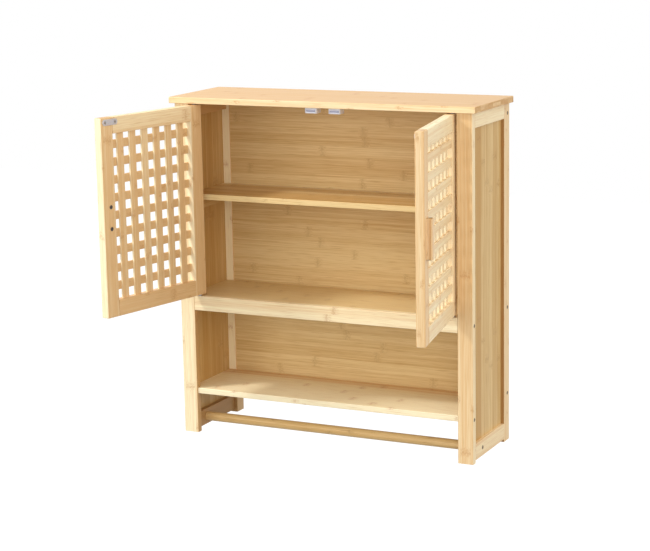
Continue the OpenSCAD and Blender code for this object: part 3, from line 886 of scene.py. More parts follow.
# Towel bar: turned from the warm bamboo, so that its strips run out on the round
BAR = Bamboo(
    "bamboo_bar", "bamboo", 0.42, light="#efcc92", dark="#d3a868", fibre="#a67a44",
    knuckle="#8f6534", end_light="#cfa462", end_dark="#a97a3c", strip=6.0, seam_depth=0.1,
)
PLATE = Fitting("steel_plate", "plate_steel", 0.46, "#dcdfe9", "#c3c6d1")
POLE = Fitting("steel_pole", "plate_steel", 0.55, "#e9ebf6", "#d6d9ea")
SCREW = Fitting("steel_screw", "screw_steel", 0.34, "#c6c9ce", "#a3a6ac", mottle=1.2)
DARK_SCREW = Fitting("steel_dark", "screw_dark", 0.4, "#7b7e87", "#55575f", mottle=1.2)
# The frame's and towel bar's screws, coloured dark brown so that they show little beside the
# bamboo
DARK_BROWN_SCREW = Fitting("steel_browned", "screw_steel", 0.45, "#8a7459", "#5e4c38", mottle=1.2)
BRASS = Fitting("brass_bush", "bush_brass", 0.3, "#c9a24a", "#b08a37", mottle=1.5)
PLASTIC = Fitting(
    "catch_plastic", "catch_plastic", 0.36, "#f2f3f7", "#e8eaf0", mottle=25 / 3, detail=2.0,
    marks=0.5, metallic=0.0, texture=(0.05, 0.08, 0.4, 0.02),
)
FERRITE = replace(
    PLASTIC, name="ferrite", slot="magnet_black", roughness=0.7, colour="#b0b2c5",
    shade="#9c9eb2", marks=0.3, texture=(0.05, 0.08, 0.4, 0.04),
)
# Dowels of beech, fluted by a die: they stay out of sight in their bores
DOWEL = replace(
    PLASTIC, name="beech_dowel", slot="bamboo", roughness=0.6, colour="#dcb887",
    shade="#c9a06c", marks=0.9, texture=(0.05, 0.08, 0.4, 0.06),
)


# Placing


@dataclass
class Bench:
    """Turns meshes into finished pieces of one body, and hands them to the frame.

    nodes are the frame's CAD nodes and ready the materials made so far. The pattern makes a
    node's full name, and the matrix takes what is drawn to the frame.
    """

    nodes: dict[str, bpy.types.Object]
    ready: dict[Finish, list[bpy.types.Material]]
    body: str
    pattern: str
    matrix: Matrix

    def side(self, hand: Hand) -> "Bench":
        """The bench for one side's pieces, drawn on the right and named after their side."""
        return replace(self, pattern="{}_" + hand.word, matrix=self.matrix @ hand.turn)

    def materials(self, finish: Finish) -> list[bpy.types.Material]:
        """Makes the materials of a finish, once.

        Args:
            finish: The finish.

        Returns:
            Its materials.
        """
        if finish not in self.ready:
            self.ready[finish] = finish.materials()
        return self.ready[finish]

    def place(self, node: str, finish: Finish, bm: BMesh) -> None:
        """Makes the piece that stands for a CAD node, named after it with "shown_" in front.

        Args:
            node: The node, without its side.
            finish: Its finish.
            bm: Its mesh, as drawn. It is freed.
        """
        node = self.pattern.format(node)
        bm.transform(self.matrix)
        bmesh.ops.recalc_face_normals(bm, faces=bm.faces)
        bm.normal_update()
        for face in bm.faces:
            face.smooth = True
        for edge in bm.edges:
            edge.smooth = edge.is_manifold and edge.calc_face_angle(0.0) < SHARP_ANGLE
        piece = add_object("shown_" + node, bm)
        for material in self.materials(finish):
            piece.data.materials.append(material)
        piece.modifiers.new("flat_faces", "WEIGHTED_NORMAL").keep_sharp = True
        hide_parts(node)
        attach(piece, self.body)
        LOG.info("piece %s on %s: %d faces", piece.name, self.body, len(piece.data.polygons))

    def boards(self, node: str, finish: Bamboo, *boards: Board) -> None:
        """Builds one node's boards and places them.

        Args:
            node: The node, without its side.
            finish: The bamboo that they are cut from.
            *boards: The boards.
        """
        name = self.pattern.format(node)
        chance = random.Random(name)
        bm = bmesh.new()
        for board in boards:
            merge(board.build(finish, chance, BOARD_TONES_AND_PAINTED_SHADE.get(name, 0.0)), bm)
        self.place(node, finish, bm)

    def worked(self, node: str, finish: Bamboo, bm: BMesh, blank: Board) -> None:
        """Places a piece that was turned or shaped from a board, with the board's grain."""
        blank.mark_grain(bm, finish, random.Random(self.pattern.format(node)))
        self.place(node, finish, bm)

    def screws(self, node: str, finish: Fitting, screws: Iterable[Screw]) -> None:
        """Builds one node's screws and places them."""
        self.place(node, finish, solid(*screws))

    def dress(self, node: str, finish: Fitting) -> None:
        """Gives a carried-over CAD node a finish.

        Args:
            node: The node, without its side.
            finish: Its finish.
        """
        shown = self.nodes[self.pattern.format(node)]
        if not shown.material_slots:
            shown.data.materials.append(None)
        for slot in shown.material_slots:
            slot.material = self.materials(finish)[0]
        LOG.info("node %s dressed with %s", shown.name, finish.name)


@dataclass
class Carcass:
    """Frame, panels, shelves, top and towel bar, in mm. Screws are (diameter, length)."""

    bench: Bench
    top_width: float = 620.0
    height: float = 656.0
    depth: float = 188.0
    top_thickness: float = 12.0
    front_overhang: float = 8.0
    post_outer: float = 302.0
    post_inner: float = 272.0
    front_post: float = 13.0
    rear_front: float = 160.0
    rail_inner: float = 278.0
    top_rail: float = 28.0
    bottom_rail: Flat = (5.0, 36.0)
    panel: Flat = (288.0, 296.0)
    groove: Flat = (3.5, 5.0)
    back: Flat = (162.0, 168.0)
    gap: float = 0.5
    shelf: float = 11.0
    upper_shelf: float = 468.5
    middle_shelf: float = 273.0
    lower_shelf: float = 89.0
    upper_front: float = 20.0
    lower_front: float = 3.0
    back_rail: float = 28.5
    hanging_rail: float = 38.0
    cleat_inner: float = 276.0
    cleat: float = 22.0
    dowel: float = 8.0
    thin_dowel: float = 6.0
    dowel_length: float = 30.0
    frame_screw: Flat = (3.5, 50.0)
    back_screw: Flat = (3.5, 45.0)
    cleat_screw: Flat = (3.0, 18.0)
    rail_screw: Flat = (4.0, 45.0)
    flange_screw: Flat = (3.0, 10.0)
    fixings: Point = (-180.0, 0.0, 180.0)
    wall_x: float = 200.0
    bar: float = 18.0
    bar_y: float = 48.0
    hinge: Flat = (262.0, 5.0)
    bush: float = 6.4
    bush_depth: float = 9.0
    catch_x: float = 24.0
    flange: float = 2.5

    def __post_init__(self) -> None:
        """Works out the levels that several pieces share."""
        self.under_top = self.height - self.top_thickness
        self.rail_level = sum(self.bottom_rail) / 2
        self.back_bottom = self.lower_shelf - self.shelf
        self.cleat_top = self.upper_shelf - self.shelf

    # Cutters and fixings, on the right

    def panel_blank(self, gap: float) -> Block:
        """Side panel with its hidden edges, and the groove that takes them."""
        reach = self.groove[0] + gap
        return Block(
            (self.panel[0], self.front_post - reach, self.bottom_rail[1] - reach),
            (self.panel[1], self.rear_front + reach, self.under_top - self.top_rail + reach),
        )

    def back_blank(self, gap: float) -> Block:
        """Back panel with its hidden edges, and the groove that takes them."""
        side = self.post_inner + self.groove[1] + gap
        return Block(
            (-side, self.back[0], self.back_bottom), (side, self.back[1], self.under_top)
        )

    def top_bores(self) -> list[Turned]:
        """Bores of the dowels between one side and the top panel."""
        size = ((0, 0, 20.0), self.thin_dowel)
        low = self.under_top - self.top_thickness
        return [
            rod((self.rail_inner, y, low), *size) for y in (self.front_post / 2, self.depth - 12.0)
        ]

    def frame_bores(self) -> list[Turned]:
        """Bores of the dowels between one side's posts and rails, and in the top panel."""
        middle, half = (self.post_outer + self.rail_inner) / 2, self.dowel_length / 2
        return [
            *(
                rod((middle, start, level), (0, self.dowel_length, 0), self.dowel)
                for level in (self.rail_level, self.under_top - self.top_rail / 2)
                for start in (4.0, self.rear_front - half)
            ),
            *self.top_bores(),
        ]

    def rail_bores(self) -> list[Turned]:
        """Bores of the dowels between the middle shelf and its front rail."""
        z, way = self.middle_shelf - self.shelf / 2, (0, self.dowel_length, 0)
        return [rod((x, 4.0, z), way, self.thin_dowel) for x in self.fixings]

    def side_screws(self) -> list[Screw]:
        """Screws through one side's posts, two in front and three behind."""
        front, rear = 6.85, (self.back[1] + self.depth) / 2
        middle, half = self.middle_shelf - self.back_rail / 2, self.back_rail / 2
        places = (
            (front, middle), (front, self.back_bottom + self.shelf / 2),
            (rear, self.under_top - self.hanging_rail / 2), (rear, middle),
            (rear, self.back_bottom + half),
        )
        return [Screw((self.post_outer, y, z), (1, 0, 0), *self.frame_screw) for y, z in places]

    def back_screws(self) -> list[Screw]:
        """Screws through the back rails into the shelves."""
        return [
            Screw((x, self.depth, level - self.shelf / 2), (0, 1, 0), *self.back_screw)
            for level in (self.middle_shelf, self.lower_shelf) for x in self.fixings
        ]

    def cleat_screws(self) -> list[Screw]:
        """Screws through one cleat."""
        z = self.cleat_top - self.cleat / 2
        return [
            Screw((self.cleat_inner, y, z), (-1, 0, 0), *self.cleat_screw) for y in (47.0, 135.0)
        ]

    def bar_screw(self) -> Screw:
        """Screw through one side rail into the towel bar."""
        return Screw((self.post_outer, self.bar_y, self.rail_level), (1, 0, 0), *self.rail_screw)

    def catch_screw(self) -> Screw:
        """Screw that holds one catch's flange under the top panel."""
        place = (self.catch_x, 41.2, self.under_top - self.flange)
        return Screw(place, (0, 0, -1), *self.flange_screw)

    def bush_seats(self) -> list[Turned]:
        """The seats of one door's bushes."""
        x, y = self.hinge
        way = (0, 0, self.bush_depth + PAST)
        lows = (self.under_top - PAST, self.middle_shelf - self.bush_depth)
        return [rod((x, y, low), way, self.bush, 0.0) for low in lows]

    def wall_bores(self) -> list[Turned]:
        """The two wall screw holes."""
        start, way = self.depth - 30.0, (0, 30.0 + PAST, 0)
        return [rod((x, start, ORIGIN.z), way, 6.0, 0.0) for x in (-self.wall_x, self.wall_x)]

    # Building

    def build(self) -> None:
        """Builds every piece of the carcass."""
        for hand in Hand:
            self.build_side(hand)
        self.build_top()
        self.build_back()
        self.build_shelves()
        self.build_bar()
        self.build_fixings()

    def build_side(self, hand: Hand) -> None:
        """Builds one side: two posts, two rails, the sunk panel and the shelf's cleat.

        Args:
            hand: Which side.
        """
        bench = self.bench.side(hand)
        groove, blank = self.panel_blank(self.gap), self.panel_blank(0.0)
        screws, bores = holes(self.side_screws()), self.frame_bores()
        # Painted shade on the front posts' inner faces, and a painted highlight on their outer
        # faces
        bench.boards("front_post", PALE, Board(
            (self.post_inner, 0, 0), (self.post_outer, self.front_post, self.under_top), Axis.Z,
            [groove, *screws, *bores], edge=1.2,
            shades=[Shade(1.9, (Axis.X, -1)), Shade(-0.5, (Axis.X, 1))],
        ))
        # Painted shade: the left rear post's front face is darker on its foot, below the lower
        # shelf, and the right one's front face, in the recess beside the sunk panel, is darker all
        # the way up; both posts' inner faces are darker too
        foot = Shade(2.7, (Axis.Y, -1), (Axis.Z, 0.0, self.back_bottom))
        front = foot if hand is Hand.LEFT else Shade(2.3, (Axis.Y, -1))
        bench.boards("rear_post", PALE, Board(
            (self.post_inner, self.rear_front, 0), (self.post_outer, self.depth, self.under_top),
            Axis.Z, [groove, self.back_blank(self.gap), *screws, *bores], edge=1.2,
            shades=[Shade(1.2, (Axis.X, -1)), front],
        ))
        for node, bottom, top in (
            ("side_top_rail", self.under_top - self.top_rail, self.under_top),
            ("side_bottom_rail", *self.bottom_rail),
        ):
            bench.boards(node, PALE, Board(
                (self.rail_inner, self.front_post, bottom),
                (self.post_outer, self.rear_front, top), Axis.Y,
                [groove, self.bar_screw().hole(), *bores], edge=1.0,
            ))
        cuts = holes(self.cleat_screws())
        bench.boards("side_panel", PANEL, Board(blank.low, blank.high, Axis.Z, cuts, edge=0.0))
        bench.boards("upper_shelf_cleat", WARM, Board(
            (self.cleat_inner, self.cleat, self.cleat_top - self.cleat),
            (self.panel[0], self.rear_front, self.cleat_top), Axis.Y, cuts, edge=1.2,
        ))

    def build_top(self) -> None:
        """Builds the top panel."""
        half = self.top_width / 2
        # Its front edge is painted lighter: a painted highlight
        self.bench.boards("top_panel", PALE, Board(
            (-half, -self.front_overhang, self.under_top), (half, self.depth, self.height),
            Axis.X, both([*self.top_bores(), *self.bush_seats(), self.catch_screw().hole()]),
            edge=1.2, ends=True, shades=[Shade(-1.2, (Axis.Y, -1))],
        ))

    def build_back(self) -> None:
        """Builds the back panel and the three rails behind it."""
        blank = self.back_blank(0.0)
        cuts = [*holes(self.back_screws()), *self.wall_bores()]
        self.bench.boards(
            "back_panel", WARM, Board(blank.low, blank.high, Axis.X, cuts, edge=0.0)
        )
        for node, bottom, top in (
            ("hanging_rail", self.under_top - self.hanging_rail, self.under_top),
            ("middle_back_rail", self.middle_shelf - self.back_rail, self.middle_shelf),
            ("lower_back_rail", self.back_bottom, self.back_bottom + self.back_rail),
        ):
            self.bench.boards(node, PALE, Board(
                (-self.post_inner, self.back[1], bottom), (self.post_inner, self.depth, top),
                Axis.X, [*both(holes(self.side_screws())), *cuts], edge=1.0,
            ))

    def build_shelves(self) -> None:
        """Builds the three shelves and the rail in front of the middle one."""
        # Painted light and shade on the shelves: the upper shelf's front edge gets a painted
        # highlight and its part from 92 mm back is painted lighter against a cast shadow; the
        # lower shelf darkens in four steps towards the back as a painted shadow of the shelf
        # above. The upper shelf's rearmost strip is a real pale strip
        strip = lambda tone, start: Shade(tone, None, (Axis.Y, start, self.depth))
        strips = {
            "upper_shelf": [Shade(-0.9, (Axis.Y, -1)), strip(-0.7, 92.0), strip(-3.2, 146.0)],
            "lower_shelf": [strip(0.5, start) for start in (100.0, 118.0, 134.0, 150.0)],
        }
        screws, bores = holes(self.side_screws()), self.rail_bores()
        cuts = [*both(screws), *holes(self.back_screws()), *bores]
        for node, front, level, finish in (
            ("upper_shelf", self.upper_front, self.upper_shelf, WARM),
            ("middle_shelf", self.front_post, self.middle_shelf, WARM),
            ("lower_shelf", self.lower_front, self.lower_shelf, PALE),
        ):
            low = level - self.shelf
            # Notches round the posts: only the lower shelf reaches between the front ones
            stretches = [(self.rear_front, self.back[0] + PAST)]
            if front < self.front_post:
                stretches.insert(0, (front - PAST, self.front_post))
            notches = both(
                Block((self.post_inner, start, low - PAST), (self.post_outer, end, level + PAST))
                for start, end in stretches
            )
            self.bench.boards(node, finish, Board(
                (-self.panel[0], front, low), (self.panel[0], self.back[0], level), Axis.X,
                [*notches, *cuts], edge=1.0,
                # Every shelf's front edge gets a painted highlight
                shades=[Shade(-0.3, (Axis.Y, -1)), *strips.get(node, ())],
            ))
        self.bench.boards("middle_front_rail", PALE, Board(
            (-self.post_inner, 0, self.middle_shelf - self.back_rail),
            (self.post_inner, self.front_post, self.middle_shelf), Axis.X,
            [*both([*screws, *self.bush_seats()]), *bores], edge=1.0,
        ))

    def build_bar(self) -> None:
        """Builds the round towel bar between the lower side rails."""
        radius, length, rings = self.bar / 2, 2 * self.rail_inner, 24
        along = ((radius, length * i / rings) for i in range(rings + 1))
        start = (-self.rail_inner, self.bar_y, self.rail_level)
        bar = solid(Turned(start, (1, 0, 0), ((0.0, 0.0), *along, (0.0, length)), 64))
        self.bench.worked("towel_bar", BAR, carve(bar, holes(both([self.bar_screw()]))), Board(
            (-self.rail_inner, self.bar_y - radius, self.rail_level - radius),
            (self.rail_inner, self.bar_y + radius, self.rail_level + radius), Axis.X,
        ))

    def build_fixings(self) -> None:
        """Builds the screws and the brass bushes, and dresses the hidden dowels."""
        for node, finish, screws in (
            ("frame_screws", DARK_BROWN_SCREW, both(self.side_screws())),
            ("back_screws", SCREW, self.back_screws()),
            ("cleat_screws", SCREW, both(self.cleat_screws())),
            ("towel_bar_screws", DARK_BROWN_SCREW, both([self.bar_screw()])),
            ("catch_screws", SCREW, both([self.catch_screw()])),
        ):
            self.bench.screws(node, finish, screws)
        x, y = self.hinge
        outer, bore, deep = self.bush / 2, 2.05, self.bush_depth
        # Chamfered a little at the mouth
        ring = (
            (2.3, 0.0), (3.0, 0.0), (outer, 0.2), (outer, deep), (bore, deep), (bore, 0.25),
            (2.3, 0.0),
        )
        bm = bmesh.new()
        for side in (-1, 1):
            for level, way in ((self.under_top, 1), (self.middle_shelf, -1)):
                made = Turned((side * x, y, level), (0, 0, way), ring).add_to(bm)
                bmesh.ops.remove_doubles(bm, verts=made, dist=1e-4)
        self.bench.place("hinge_bushes", BRASS, bm)
        for node in ("side_frame_dowels", "top_panel_dowels", "shelf_dowels"):
            self.bench.dress(node, DOWEL)


@dataclass
class Catches:
    """The two magnetic catches under the top panel, in mm."""

    carcass: Carcass
    width: float = 25.0
    front: float = 18.2
    depth: float = 17.0
    corner: float = 3.0
    flange_reach: float = 12.0
    low: float = 631.0
    pole_front: float = 17.4
    pole_width: float = 19.0
    pole_depth: float = 11.0
    pole_low: float = 633.0
    pole: float = 1.0
    magnet: float = 3.0
    magnet_back: float = 1.6
    mouth_gap: float = 0.25

    def case(self) -> BMesh:
        """Builds one moulded case on the right, with its mouth and screw flange.

        Returns:
            The mesh.
        """
        x, half, top = self.carcass.catch_x, self.width / 2, self.carcass.under_top
        rear, reach = self.front + self.depth, half - self.corner
        outline = [(x + half, rear), (x - half, rear)]
        for side, first in ((-1, 180.0), (1, 270.0)):
            middle = (x + side * reach, self.front + self.corner)
            outline += arc(middle, self.corner, first, 90.0, 6)
        bm = prism([(*corner, self.low) for corner in outline], (0, 0, top - self.low))
        soften(bm, edges_at(bm, Axis.Z, self.low), 0.5, 2)
        flange = solid(Block(
            (x - half, rear - 0.5, top - self.carcass.flange),
            (x + half, rear + self.flange_reach, top),
        ))
        upright = [
            e for e in flange.edges
            if abs(e.verts[0].co.z - e.verts[1].co.z) > 1 and e.verts[0].co.y > rear
        ]
        soften(flange, upright, 3.0, 5)
        merge(flange, bm)
        mouth, inner = self.pole_width / 2 + 0.3, self.pole_front + self.pole_depth + 0.1
        upper = self.pole_low + 2 * self.pole + self.magnet
        return carve(bm, [
            Block(
                (x - mouth, self.front - PAST, self.pole_low - self.mouth_gap),
                (x + mouth, inner, upper + self.mouth_gap),
            ),
            self.carcass.catch_screw().hole(),
        ])

    def build(self) -> None:
        """Builds both catches: cases, and pole plates either side of a magnet."""
        bench = self.carcass.bench
        for hand in Hand:
            bench.side(hand).place("catch_case", PLASTIC, self.case())
        poles, magnets = bmesh.new(), bmesh.new()
        for side in (-1, 1):
            x, low = side * self.carcass.catch_x, self.pole_low
            self.add_slab(poles, x, 0.0, low, self.pole)
            self.add_slab(poles, x, 0.0, low + self.pole + self.magnet, self.pole)
            self.add_slab(magnets, x, self.magnet_back, low + self.pole, self.magnet)
        bench.place("catch_pole_plates", POLE, poles)
        bench.place("catch_magnets", FERRITE, magnets)

    def add_slab(self, bm: BMesh, x: float, back: float, low: float, thick: float) -> None:
        """Adds one flat slab with eased edges.

        Args:
            bm: Mesh under construction.
            x: Middle of the slab.
            back: How far it stands back from the poles' front.
            low: Its lower face.
            thick: Its thickness.
        """
        half, front = self.pole_width / 2, self.pole_front
        part = solid(Block(
            (x - half, front + back, low), (x + half, front + self.pole_depth, low + thick)
        ))
        soften(part, list(part.edges), 0.15, 2)
        merge(part, bm)


@dataclass
class Door:
    """One lattice door with its handle, strike plate and pins, in mm."""

    frame_bench: Bench
    hand: Hand
    pivot: Vector
    open_angle: float
    width: float = 268.0
    thickness: float = 16.0
    bottom: float = 277.0
    top: float = 642.0
    stile: float = 30.0
    rail: float = 30.0
    uprights: int = 6
    upright_width: float = 16.0
    cross_count: int = 9
    cross_height: float = 15.6
    cross_first: float = 323.9
    cross_pitch: float = 32.5
    slat: float = 4.0
    slat_face: float = 10.3
    tenon: float = 5.0
    dowel: float = 6.0
    dowel_reach: float = 16.0
    pin: Flat = (7.0, 5.0)
    pin_diameter: float = 4.0
    pin_depth: float = 25.0
    handle_u: float = 249.5
    handle_level: float = 460.0
    handle_length: float = 70.0
    handle_width: float = 16.0
    handle_projection: float = 11.0
    handle_corner: float = 2.0
    handle_screw: Flat = (4.0, 23.0)
    handle_hole: float = 20.0
    waist_radius: float = 4.5
    waist_depth: float = 2.5
    strike_u: float = 245.0
    strike_z: float = 633.5
    strike_radius: float = 5.5
    strike_straight: float = 13.5
    strike_thickness: float = 1.2
    strike_screw: Flat = (3.0, 10.0)
    strike_hole: float = 12.5

    def __post_init__(self) -> None:
        """Works out the lattice field, and hangs the door's bench on its pins."""
        self.field_right = self.width - self.stile
        self.field_low = self.bottom + self.rail
        self.field_high = self.top - self.rail
        shut = Matrix.Translation((-self.pin[0], -self.pin[1], 0.0))
        turn = Matrix.Rotation(-math.radians(self.open_angle), 4, "Z")
        hinge = (-abs(self.pivot.x) / MM, self.pivot.y / MM + ORIGIN.y, 0.0)
        left = Matrix.Translation(hinge) @ turn @ shut
        self.bench = replace(
            self.frame_bench, body=f"{self.hand.word}_door", pattern=self.hand.word + "_{}",
            matrix=IN_FRAME @ (left if self.hand is Hand.LEFT else MIRROR @ left),
        )

    def upright_slats(self) -> list[Block]:
        """The upright slats, with their hidden ends."""
        space = self.field_right - self.stile - self.uprights * self.upright_width
        step = space / (self.uprights + 1)
        pitch = self.upright_width + step
        starts = [self.stile + step + i * pitch for i in range(self.uprights)]
        low, high = self.field_low - self.tenon, self.field_high + self.tenon
        back = self.slat_face - self.slat
        return [
            Block((u, back, low), (u + self.upright_width, self.slat_face, high)) for u in starts
        ]

    def cross_slats(self) -> list[Block]:
        """The cross slats, with their hidden ends."""
        starts = [self.cross_first + i * self.cross_pitch for i in range(self.cross_count)]
        left, right = self.stile - self.tenon, self.field_right + self.tenon
        back, face = self.slat_face - 2 * self.slat, self.slat_face - self.slat
        return [Block((left, back, z), (right, face, z + self.cross_height)) for z in starts]

    def dowel_bores(self) -> list[Turned]:
        """Bores of the dowels between stiles and rails."""
        reach, v = self.dowel_reach, self.thickness / 2
        return [
            rod((u - reach, v, z), (2 * reach, 0, 0), self.dowel)
            for z in (self.bottom + self.rail / 2, self.top - self.rail / 2)
            for u in (self.stile, self.field_right)
        ]

    def handle_screws(self) -> list[Screw]:
        """Screws through the free stile into the handle."""
        levels = (self.handle_level - self.handle_hole, self.handle_level + self.handle_hole)
        u, v = self.handle_u, self.thickness
        return [Screw((u, v, level), (0, 1, 0), *self.handle_screw) for level in levels]

    def strike_screws(self) -> list[Screw]:
        """Screws that hold the strike plate."""
        places = (self.strike_u - self.strike_hole, self.strike_u + self.strike_hole)
        v = self.thickness + self.strike_thickness
        return [Screw((u, v, self.strike_z), (0, 1, 0), *self.strike_screw) for u in places]

    def build(self) -> None:
        """Builds every piece of the door."""
        handle_holes, strike_holes = holes(self.handle_screws()), holes(self.strike_screws())
        (u, v), reach = self.pin, self.pin_depth + PAST
        pins = [
            rod((u, v, low), (0, 0, reach), self.pin_diameter)
            for low in (self.top - self.pin_depth, self.bottom - PAST)
        ]
        # Painted light: the left door's stiles are painted paler on their edges that face away
        # from the hinge
        edges = [Shade(-0.9, (Axis.X, 1))] if self.hand is Hand.LEFT else []
        for node, left, right, cuts in (
            ("hinge_stile", 0.0, self.stile, pins),
            ("free_stile", self.field_right, self.width, [*handle_holes, *strike_holes]),
        ):
            self.bench.boards(node, PALE, Board(
                (left, 0, self.bottom), (right, self.thickness, self.top), Axis.Z,
                [*self.cross_slats(), *self.dowel_bores(), *cuts], edge=1.3, ends=True,
                shades=edges,
            ))
        for node, low in (("top_rail", self.field_high), ("bottom_rail", self.bottom)):
            self.bench.boards(node, PALE, Board(
                (self.stile, 0, low), (self.field_right, self.thickness, low + self.rail),
                Axis.X, [*self.upright_slats(), *self.dowel_bores(), *strike_holes], edge=1.3,
            ))
        # The upright slats' edges that face away from the hinge are painted paler: painted light
        for node, blocks, grain, shades in (
            ("upright_slats", self.upright_slats(), Axis.Z, [Shade(-1.5, (Axis.X, 1))]),
            ("cross_slats", self.cross_slats(), Axis.X, []),
        ):
            self.bench.boards(
                node, PALE, *(Board(b.low, b.high, grain, edge=0.5, shades=shades) for b in blocks)
            )
        self.build_handle()
        self.build_strike()
        self.bench.screws("handle_screws", DARK_SCREW, self.handle_screws())
        self.bench.screws("strike_screws", SCREW, self.strike_screws())
        self.build_pins()
        self.bench.dress("door_dowels", DOWEL)

    def build_handle(self) -> None:
        """Builds the handle bar, waisted along both sides where the fingers reach behind it."""
        half, reach, radius = self.handle_width / 2, self.handle_projection, self.waist_radius
        low, corner = self.handle_level - self.handle_length / 2, self.handle_corner
        sweep = math.degrees(math.acos((radius - self.waist_depth) / radius))
        middle = (half + radius - self.waist_depth, -radius)
        points = [
            (half, 0.0), *arc(middle, radius, 180.0 - sweep, 2 * sweep, 12),
            *arc((half - corner, corner - reach), corner, 0.0, -90.0, 6),
        ]
        outline = points + [(-u, v) for u, v in reversed(points)]
        bm = prism(
            [(self.handle_u + u, v, low) for u, v in outline], (0, 0, self.handle_length)
        )
        ends = [*edges_at(bm, Axis.Z, low), *edges_at(bm, Axis.Z, low + self.handle_length)]
        soften(bm, [e for e in ends if min(v.co.y for v in e.verts) < -MM], 0.9)
        self.bench.worked("handle", HANDLE, carve(bm, holes(self.handle_screws())), Board(
            (self.handle_u - half, -reach, low),
            (self.handle_u + half, 0.0, low + self.handle_length), Axis.Z,
        ))

    def build_strike(self) -> None:
        """Builds the strike plate: pressed steel with round ends and a soft edge."""
        outline = []
        for side, first in ((1, -90.0), (-1, 90.0)):
            middle = (self.strike_u + side * self.strike_straight, self.strike_z)
            outline += arc(middle, self.strike_radius, first, 180.0, 16)
        thick = self.strike_thickness
        bm = prism([(u, self.thickness, z) for u, z in outline], (0, thick, 0))
        soften(bm, edges_at(bm, Axis.Y, self.thickness + thick), 0.35)
        self.bench.place("strike_plate", PLATE, carve(bm, holes(self.strike_screws())))

    def build_pins(self) -> None:
        """Builds the two hinge pins, each with a collar that keeps the door off its seat."""
        radius, depth, pins = self.pin_diameter / 2, self.pin_depth, []
        for level, way, collar in ((self.top, 1, 2.0), (self.bottom, -1, 4.0)):
            tip, edge = collar + 8.0, collar - 0.3
            pins.append(Turned((*self.pin, level), (0, 0, way), (
                (0.0, -depth), (1.7, -depth), (radius, 0.4 - depth), (radius, 0.0), (3.7, 0.0),
                (4.0, 0.25), (4.0, edge - 0.25), (3.7, edge), (radius, edge),
                (radius, tip - 0.4), (1.6, tip), (0.0, tip),
            ), 40))
        self.bench.place("hinge_pins", SCREW, solid(*pins))


# Studio


@dataclass(frozen=True)
class Lamp:
    """White soft box of the studio, by its place, its size and its strength."""

    name: str
    place: Point
    size: float
    power: float
    target: Point = (0.0, -0.1, -0.3)

    def hang(self) -> None:
        """Hangs the lamp."""
        data = bpy.data.lights.new(self.name, "AREA")
        data.shape, data.size, data.energy = "DISK", self.size, self.power
        lamp = add_object(self.name, data)
        lamp.location = self.place
        aim = Vector(self.target) - Vector(self.place)
        lamp.rotation_euler = aim.to_track_quat("-Z", "Y").to_euler()


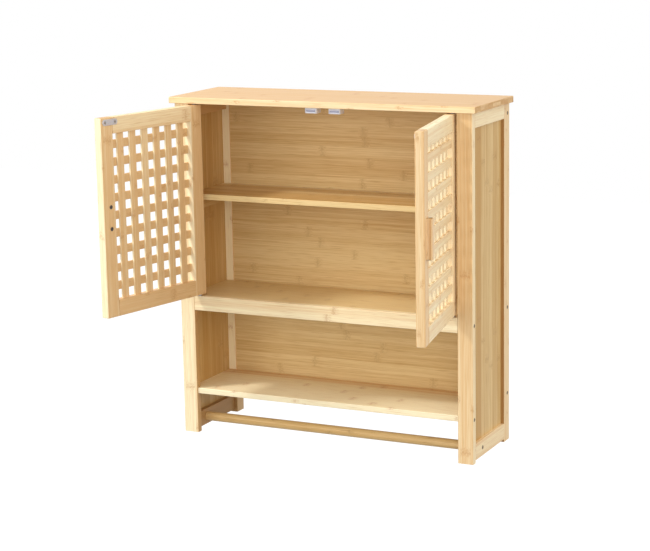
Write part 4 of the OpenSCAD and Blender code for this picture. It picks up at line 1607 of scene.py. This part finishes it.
@dataclass(frozen=True)
class Studio:
    """Pale floor, white surroundings, soft boxes and the camera, in metres."""

    floor_level: float = -1.35
    floor_size: float = 14.0
    # Strength of the surroundings as light, and what lifts the floor to white where it is seen
    sky: float = 0.9
    floor_glow: float = 0.88
    lamps: tuple[Lamp, ...] = (
        Lamp("key_high_left", (-1.74, -1.42, 1.93), 0.5, 50.0),
        Lamp("fill_left", (-2.9, -1.5, 0.2), 1.6, 7.0),
        Lamp("fill_front_left", (-1.4, -3.1, 0.2), 1.6, 16.0),
        Lamp("fill_front_right", (1.4, -3.1, 0.2), 1.6, 19.0),
        Lamp("fill_right", (3.2, -0.7, 0.2), 1.6, 25.0),
    )
    # The photograph's camera, fitted to the corners of the cabinet: place, three turns and lens
    camera_place: Point = (1.514296, -3.29532, 0.399893)
    heading: float = 0.4513
    pitch: float = 0.1988
    roll: float = 0.0185
    lens: float = 105.077
    sensor: float = 36.0

    def build(self) -> None:
        """Builds the whole studio."""
        self.build_world()
        self.build_floor()
        for lamp in self.lamps:
            lamp.hang()
        self.build_camera()
        bpy.context.scene.view_settings.view_transform = "Standard"

    def seen(self, graph: Graph, unseen: float, seen: float) -> Socket:
        """Adds a strength that differs for rays that show the background.

        Args:
            graph: Nodes that take it.
            unseen: Strength for rays that light the cabinet.
            seen: Strength for camera, glossy and transmission rays.

        Returns:
            Socket with the strength.
        """
        rays = graph.add("LightPath").outputs
        shown = rays["Is Camera Ray"]
        for name in ("Is Glossy Ray", "Is Transmission Ray"):
            shown = graph.math("MAXIMUM", shown, rays[name])
        return graph.remap(shown, (0.0, 1.0), (unseen, seen))

    def build_world(self) -> None:
        """Builds the surroundings: white where seen, softer as light."""
        world = bpy.data.worlds.new("studio")
        graph = Graph(world)
        strength = self.seen(graph, self.sky, 1.0)
        white = {"Color": linear("#ffffff"), "Strength": strength}
        graph.add("OutputWorld", {0: graph.out("Background", white)})
        bpy.context.scene.world = world

    def build_floor(self) -> None:
        """Builds the floor: matt grey vinyl that the eye sees lifted to white round its shadow."""
        material = bpy.data.materials.new("floor_vinyl")
        graph = Graph(material)
        grain = graph.noise(graph.out("TexCoord", {}, "Object"), 700.0, 2.0)
        bump = graph.out("Bump", {"Height": grain, "Strength": 0.1, "Distance": 0.2 * MM})
        matt = graph.out("BsdfDiffuse", {
            "Color": graph.mix(grain, "#7e7e7e", "#787878"), "Roughness": 0.6, "Normal": bump
        })
        glow = graph.out("Emission", {
            "Color": linear("#ffffff"), "Strength": self.seen(graph, 0.0, self.floor_glow)
        })
        graph.add("OutputMaterial", {0: graph.out("AddShader", {0: matt, 1: glow})})
        bm = bmesh.new()
        bmesh.ops.create_grid(bm, x_segments=8, y_segments=8, size=self.floor_size / 2)
        bmesh.ops.translate(bm, verts=bm.verts, vec=(0, 0, self.floor_level))
        floor = add_object("floor", bm)
        floor.data.materials.append(material)

    def build_camera(self) -> None:
        """Sets up the camera at the photograph's viewing angle."""
        data = bpy.data.cameras.new("camera")
        data.lens, data.sensor_width, data.sensor_fit = self.lens, self.sensor, "HORIZONTAL"
        data.clip_start, data.clip_end = 0.1, 60.0
        camera = bpy.context.scene.camera = add_object("camera", data)
        camera.matrix_world = Matrix.Translation(self.camera_place)
        turns = ((self.heading, "Z"), (math.pi / 2 - self.pitch, "X"), (-self.roll, "Z"))
        for angle, axis in turns:
            camera.matrix_world = camera.matrix_world @ Matrix.Rotation(angle, 4, axis)


def main() -> None:
    """Builds the cabinet around the frame, then the studio."""
    logging.basicConfig(level=logging.INFO, format="%(message)s")
    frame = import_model()
    bench = Bench(frame["nodes"], {}, "carcass", "{}", IN_FRAME)
    carcass = Carcass(bench)
    carcass.build()
    Catches(carcass).build()
    for joint, hand in zip(sorted(frame["joints"], key=lambda j: j["pos_m"][0]), Hand):
        shut = max(abs(limit) for limit in joint["range_deg"])
        Door(bench, hand, Vector(joint["pos_m"]), shut).build()
    Studio().build()


if __name__ == "__main__":
    main()
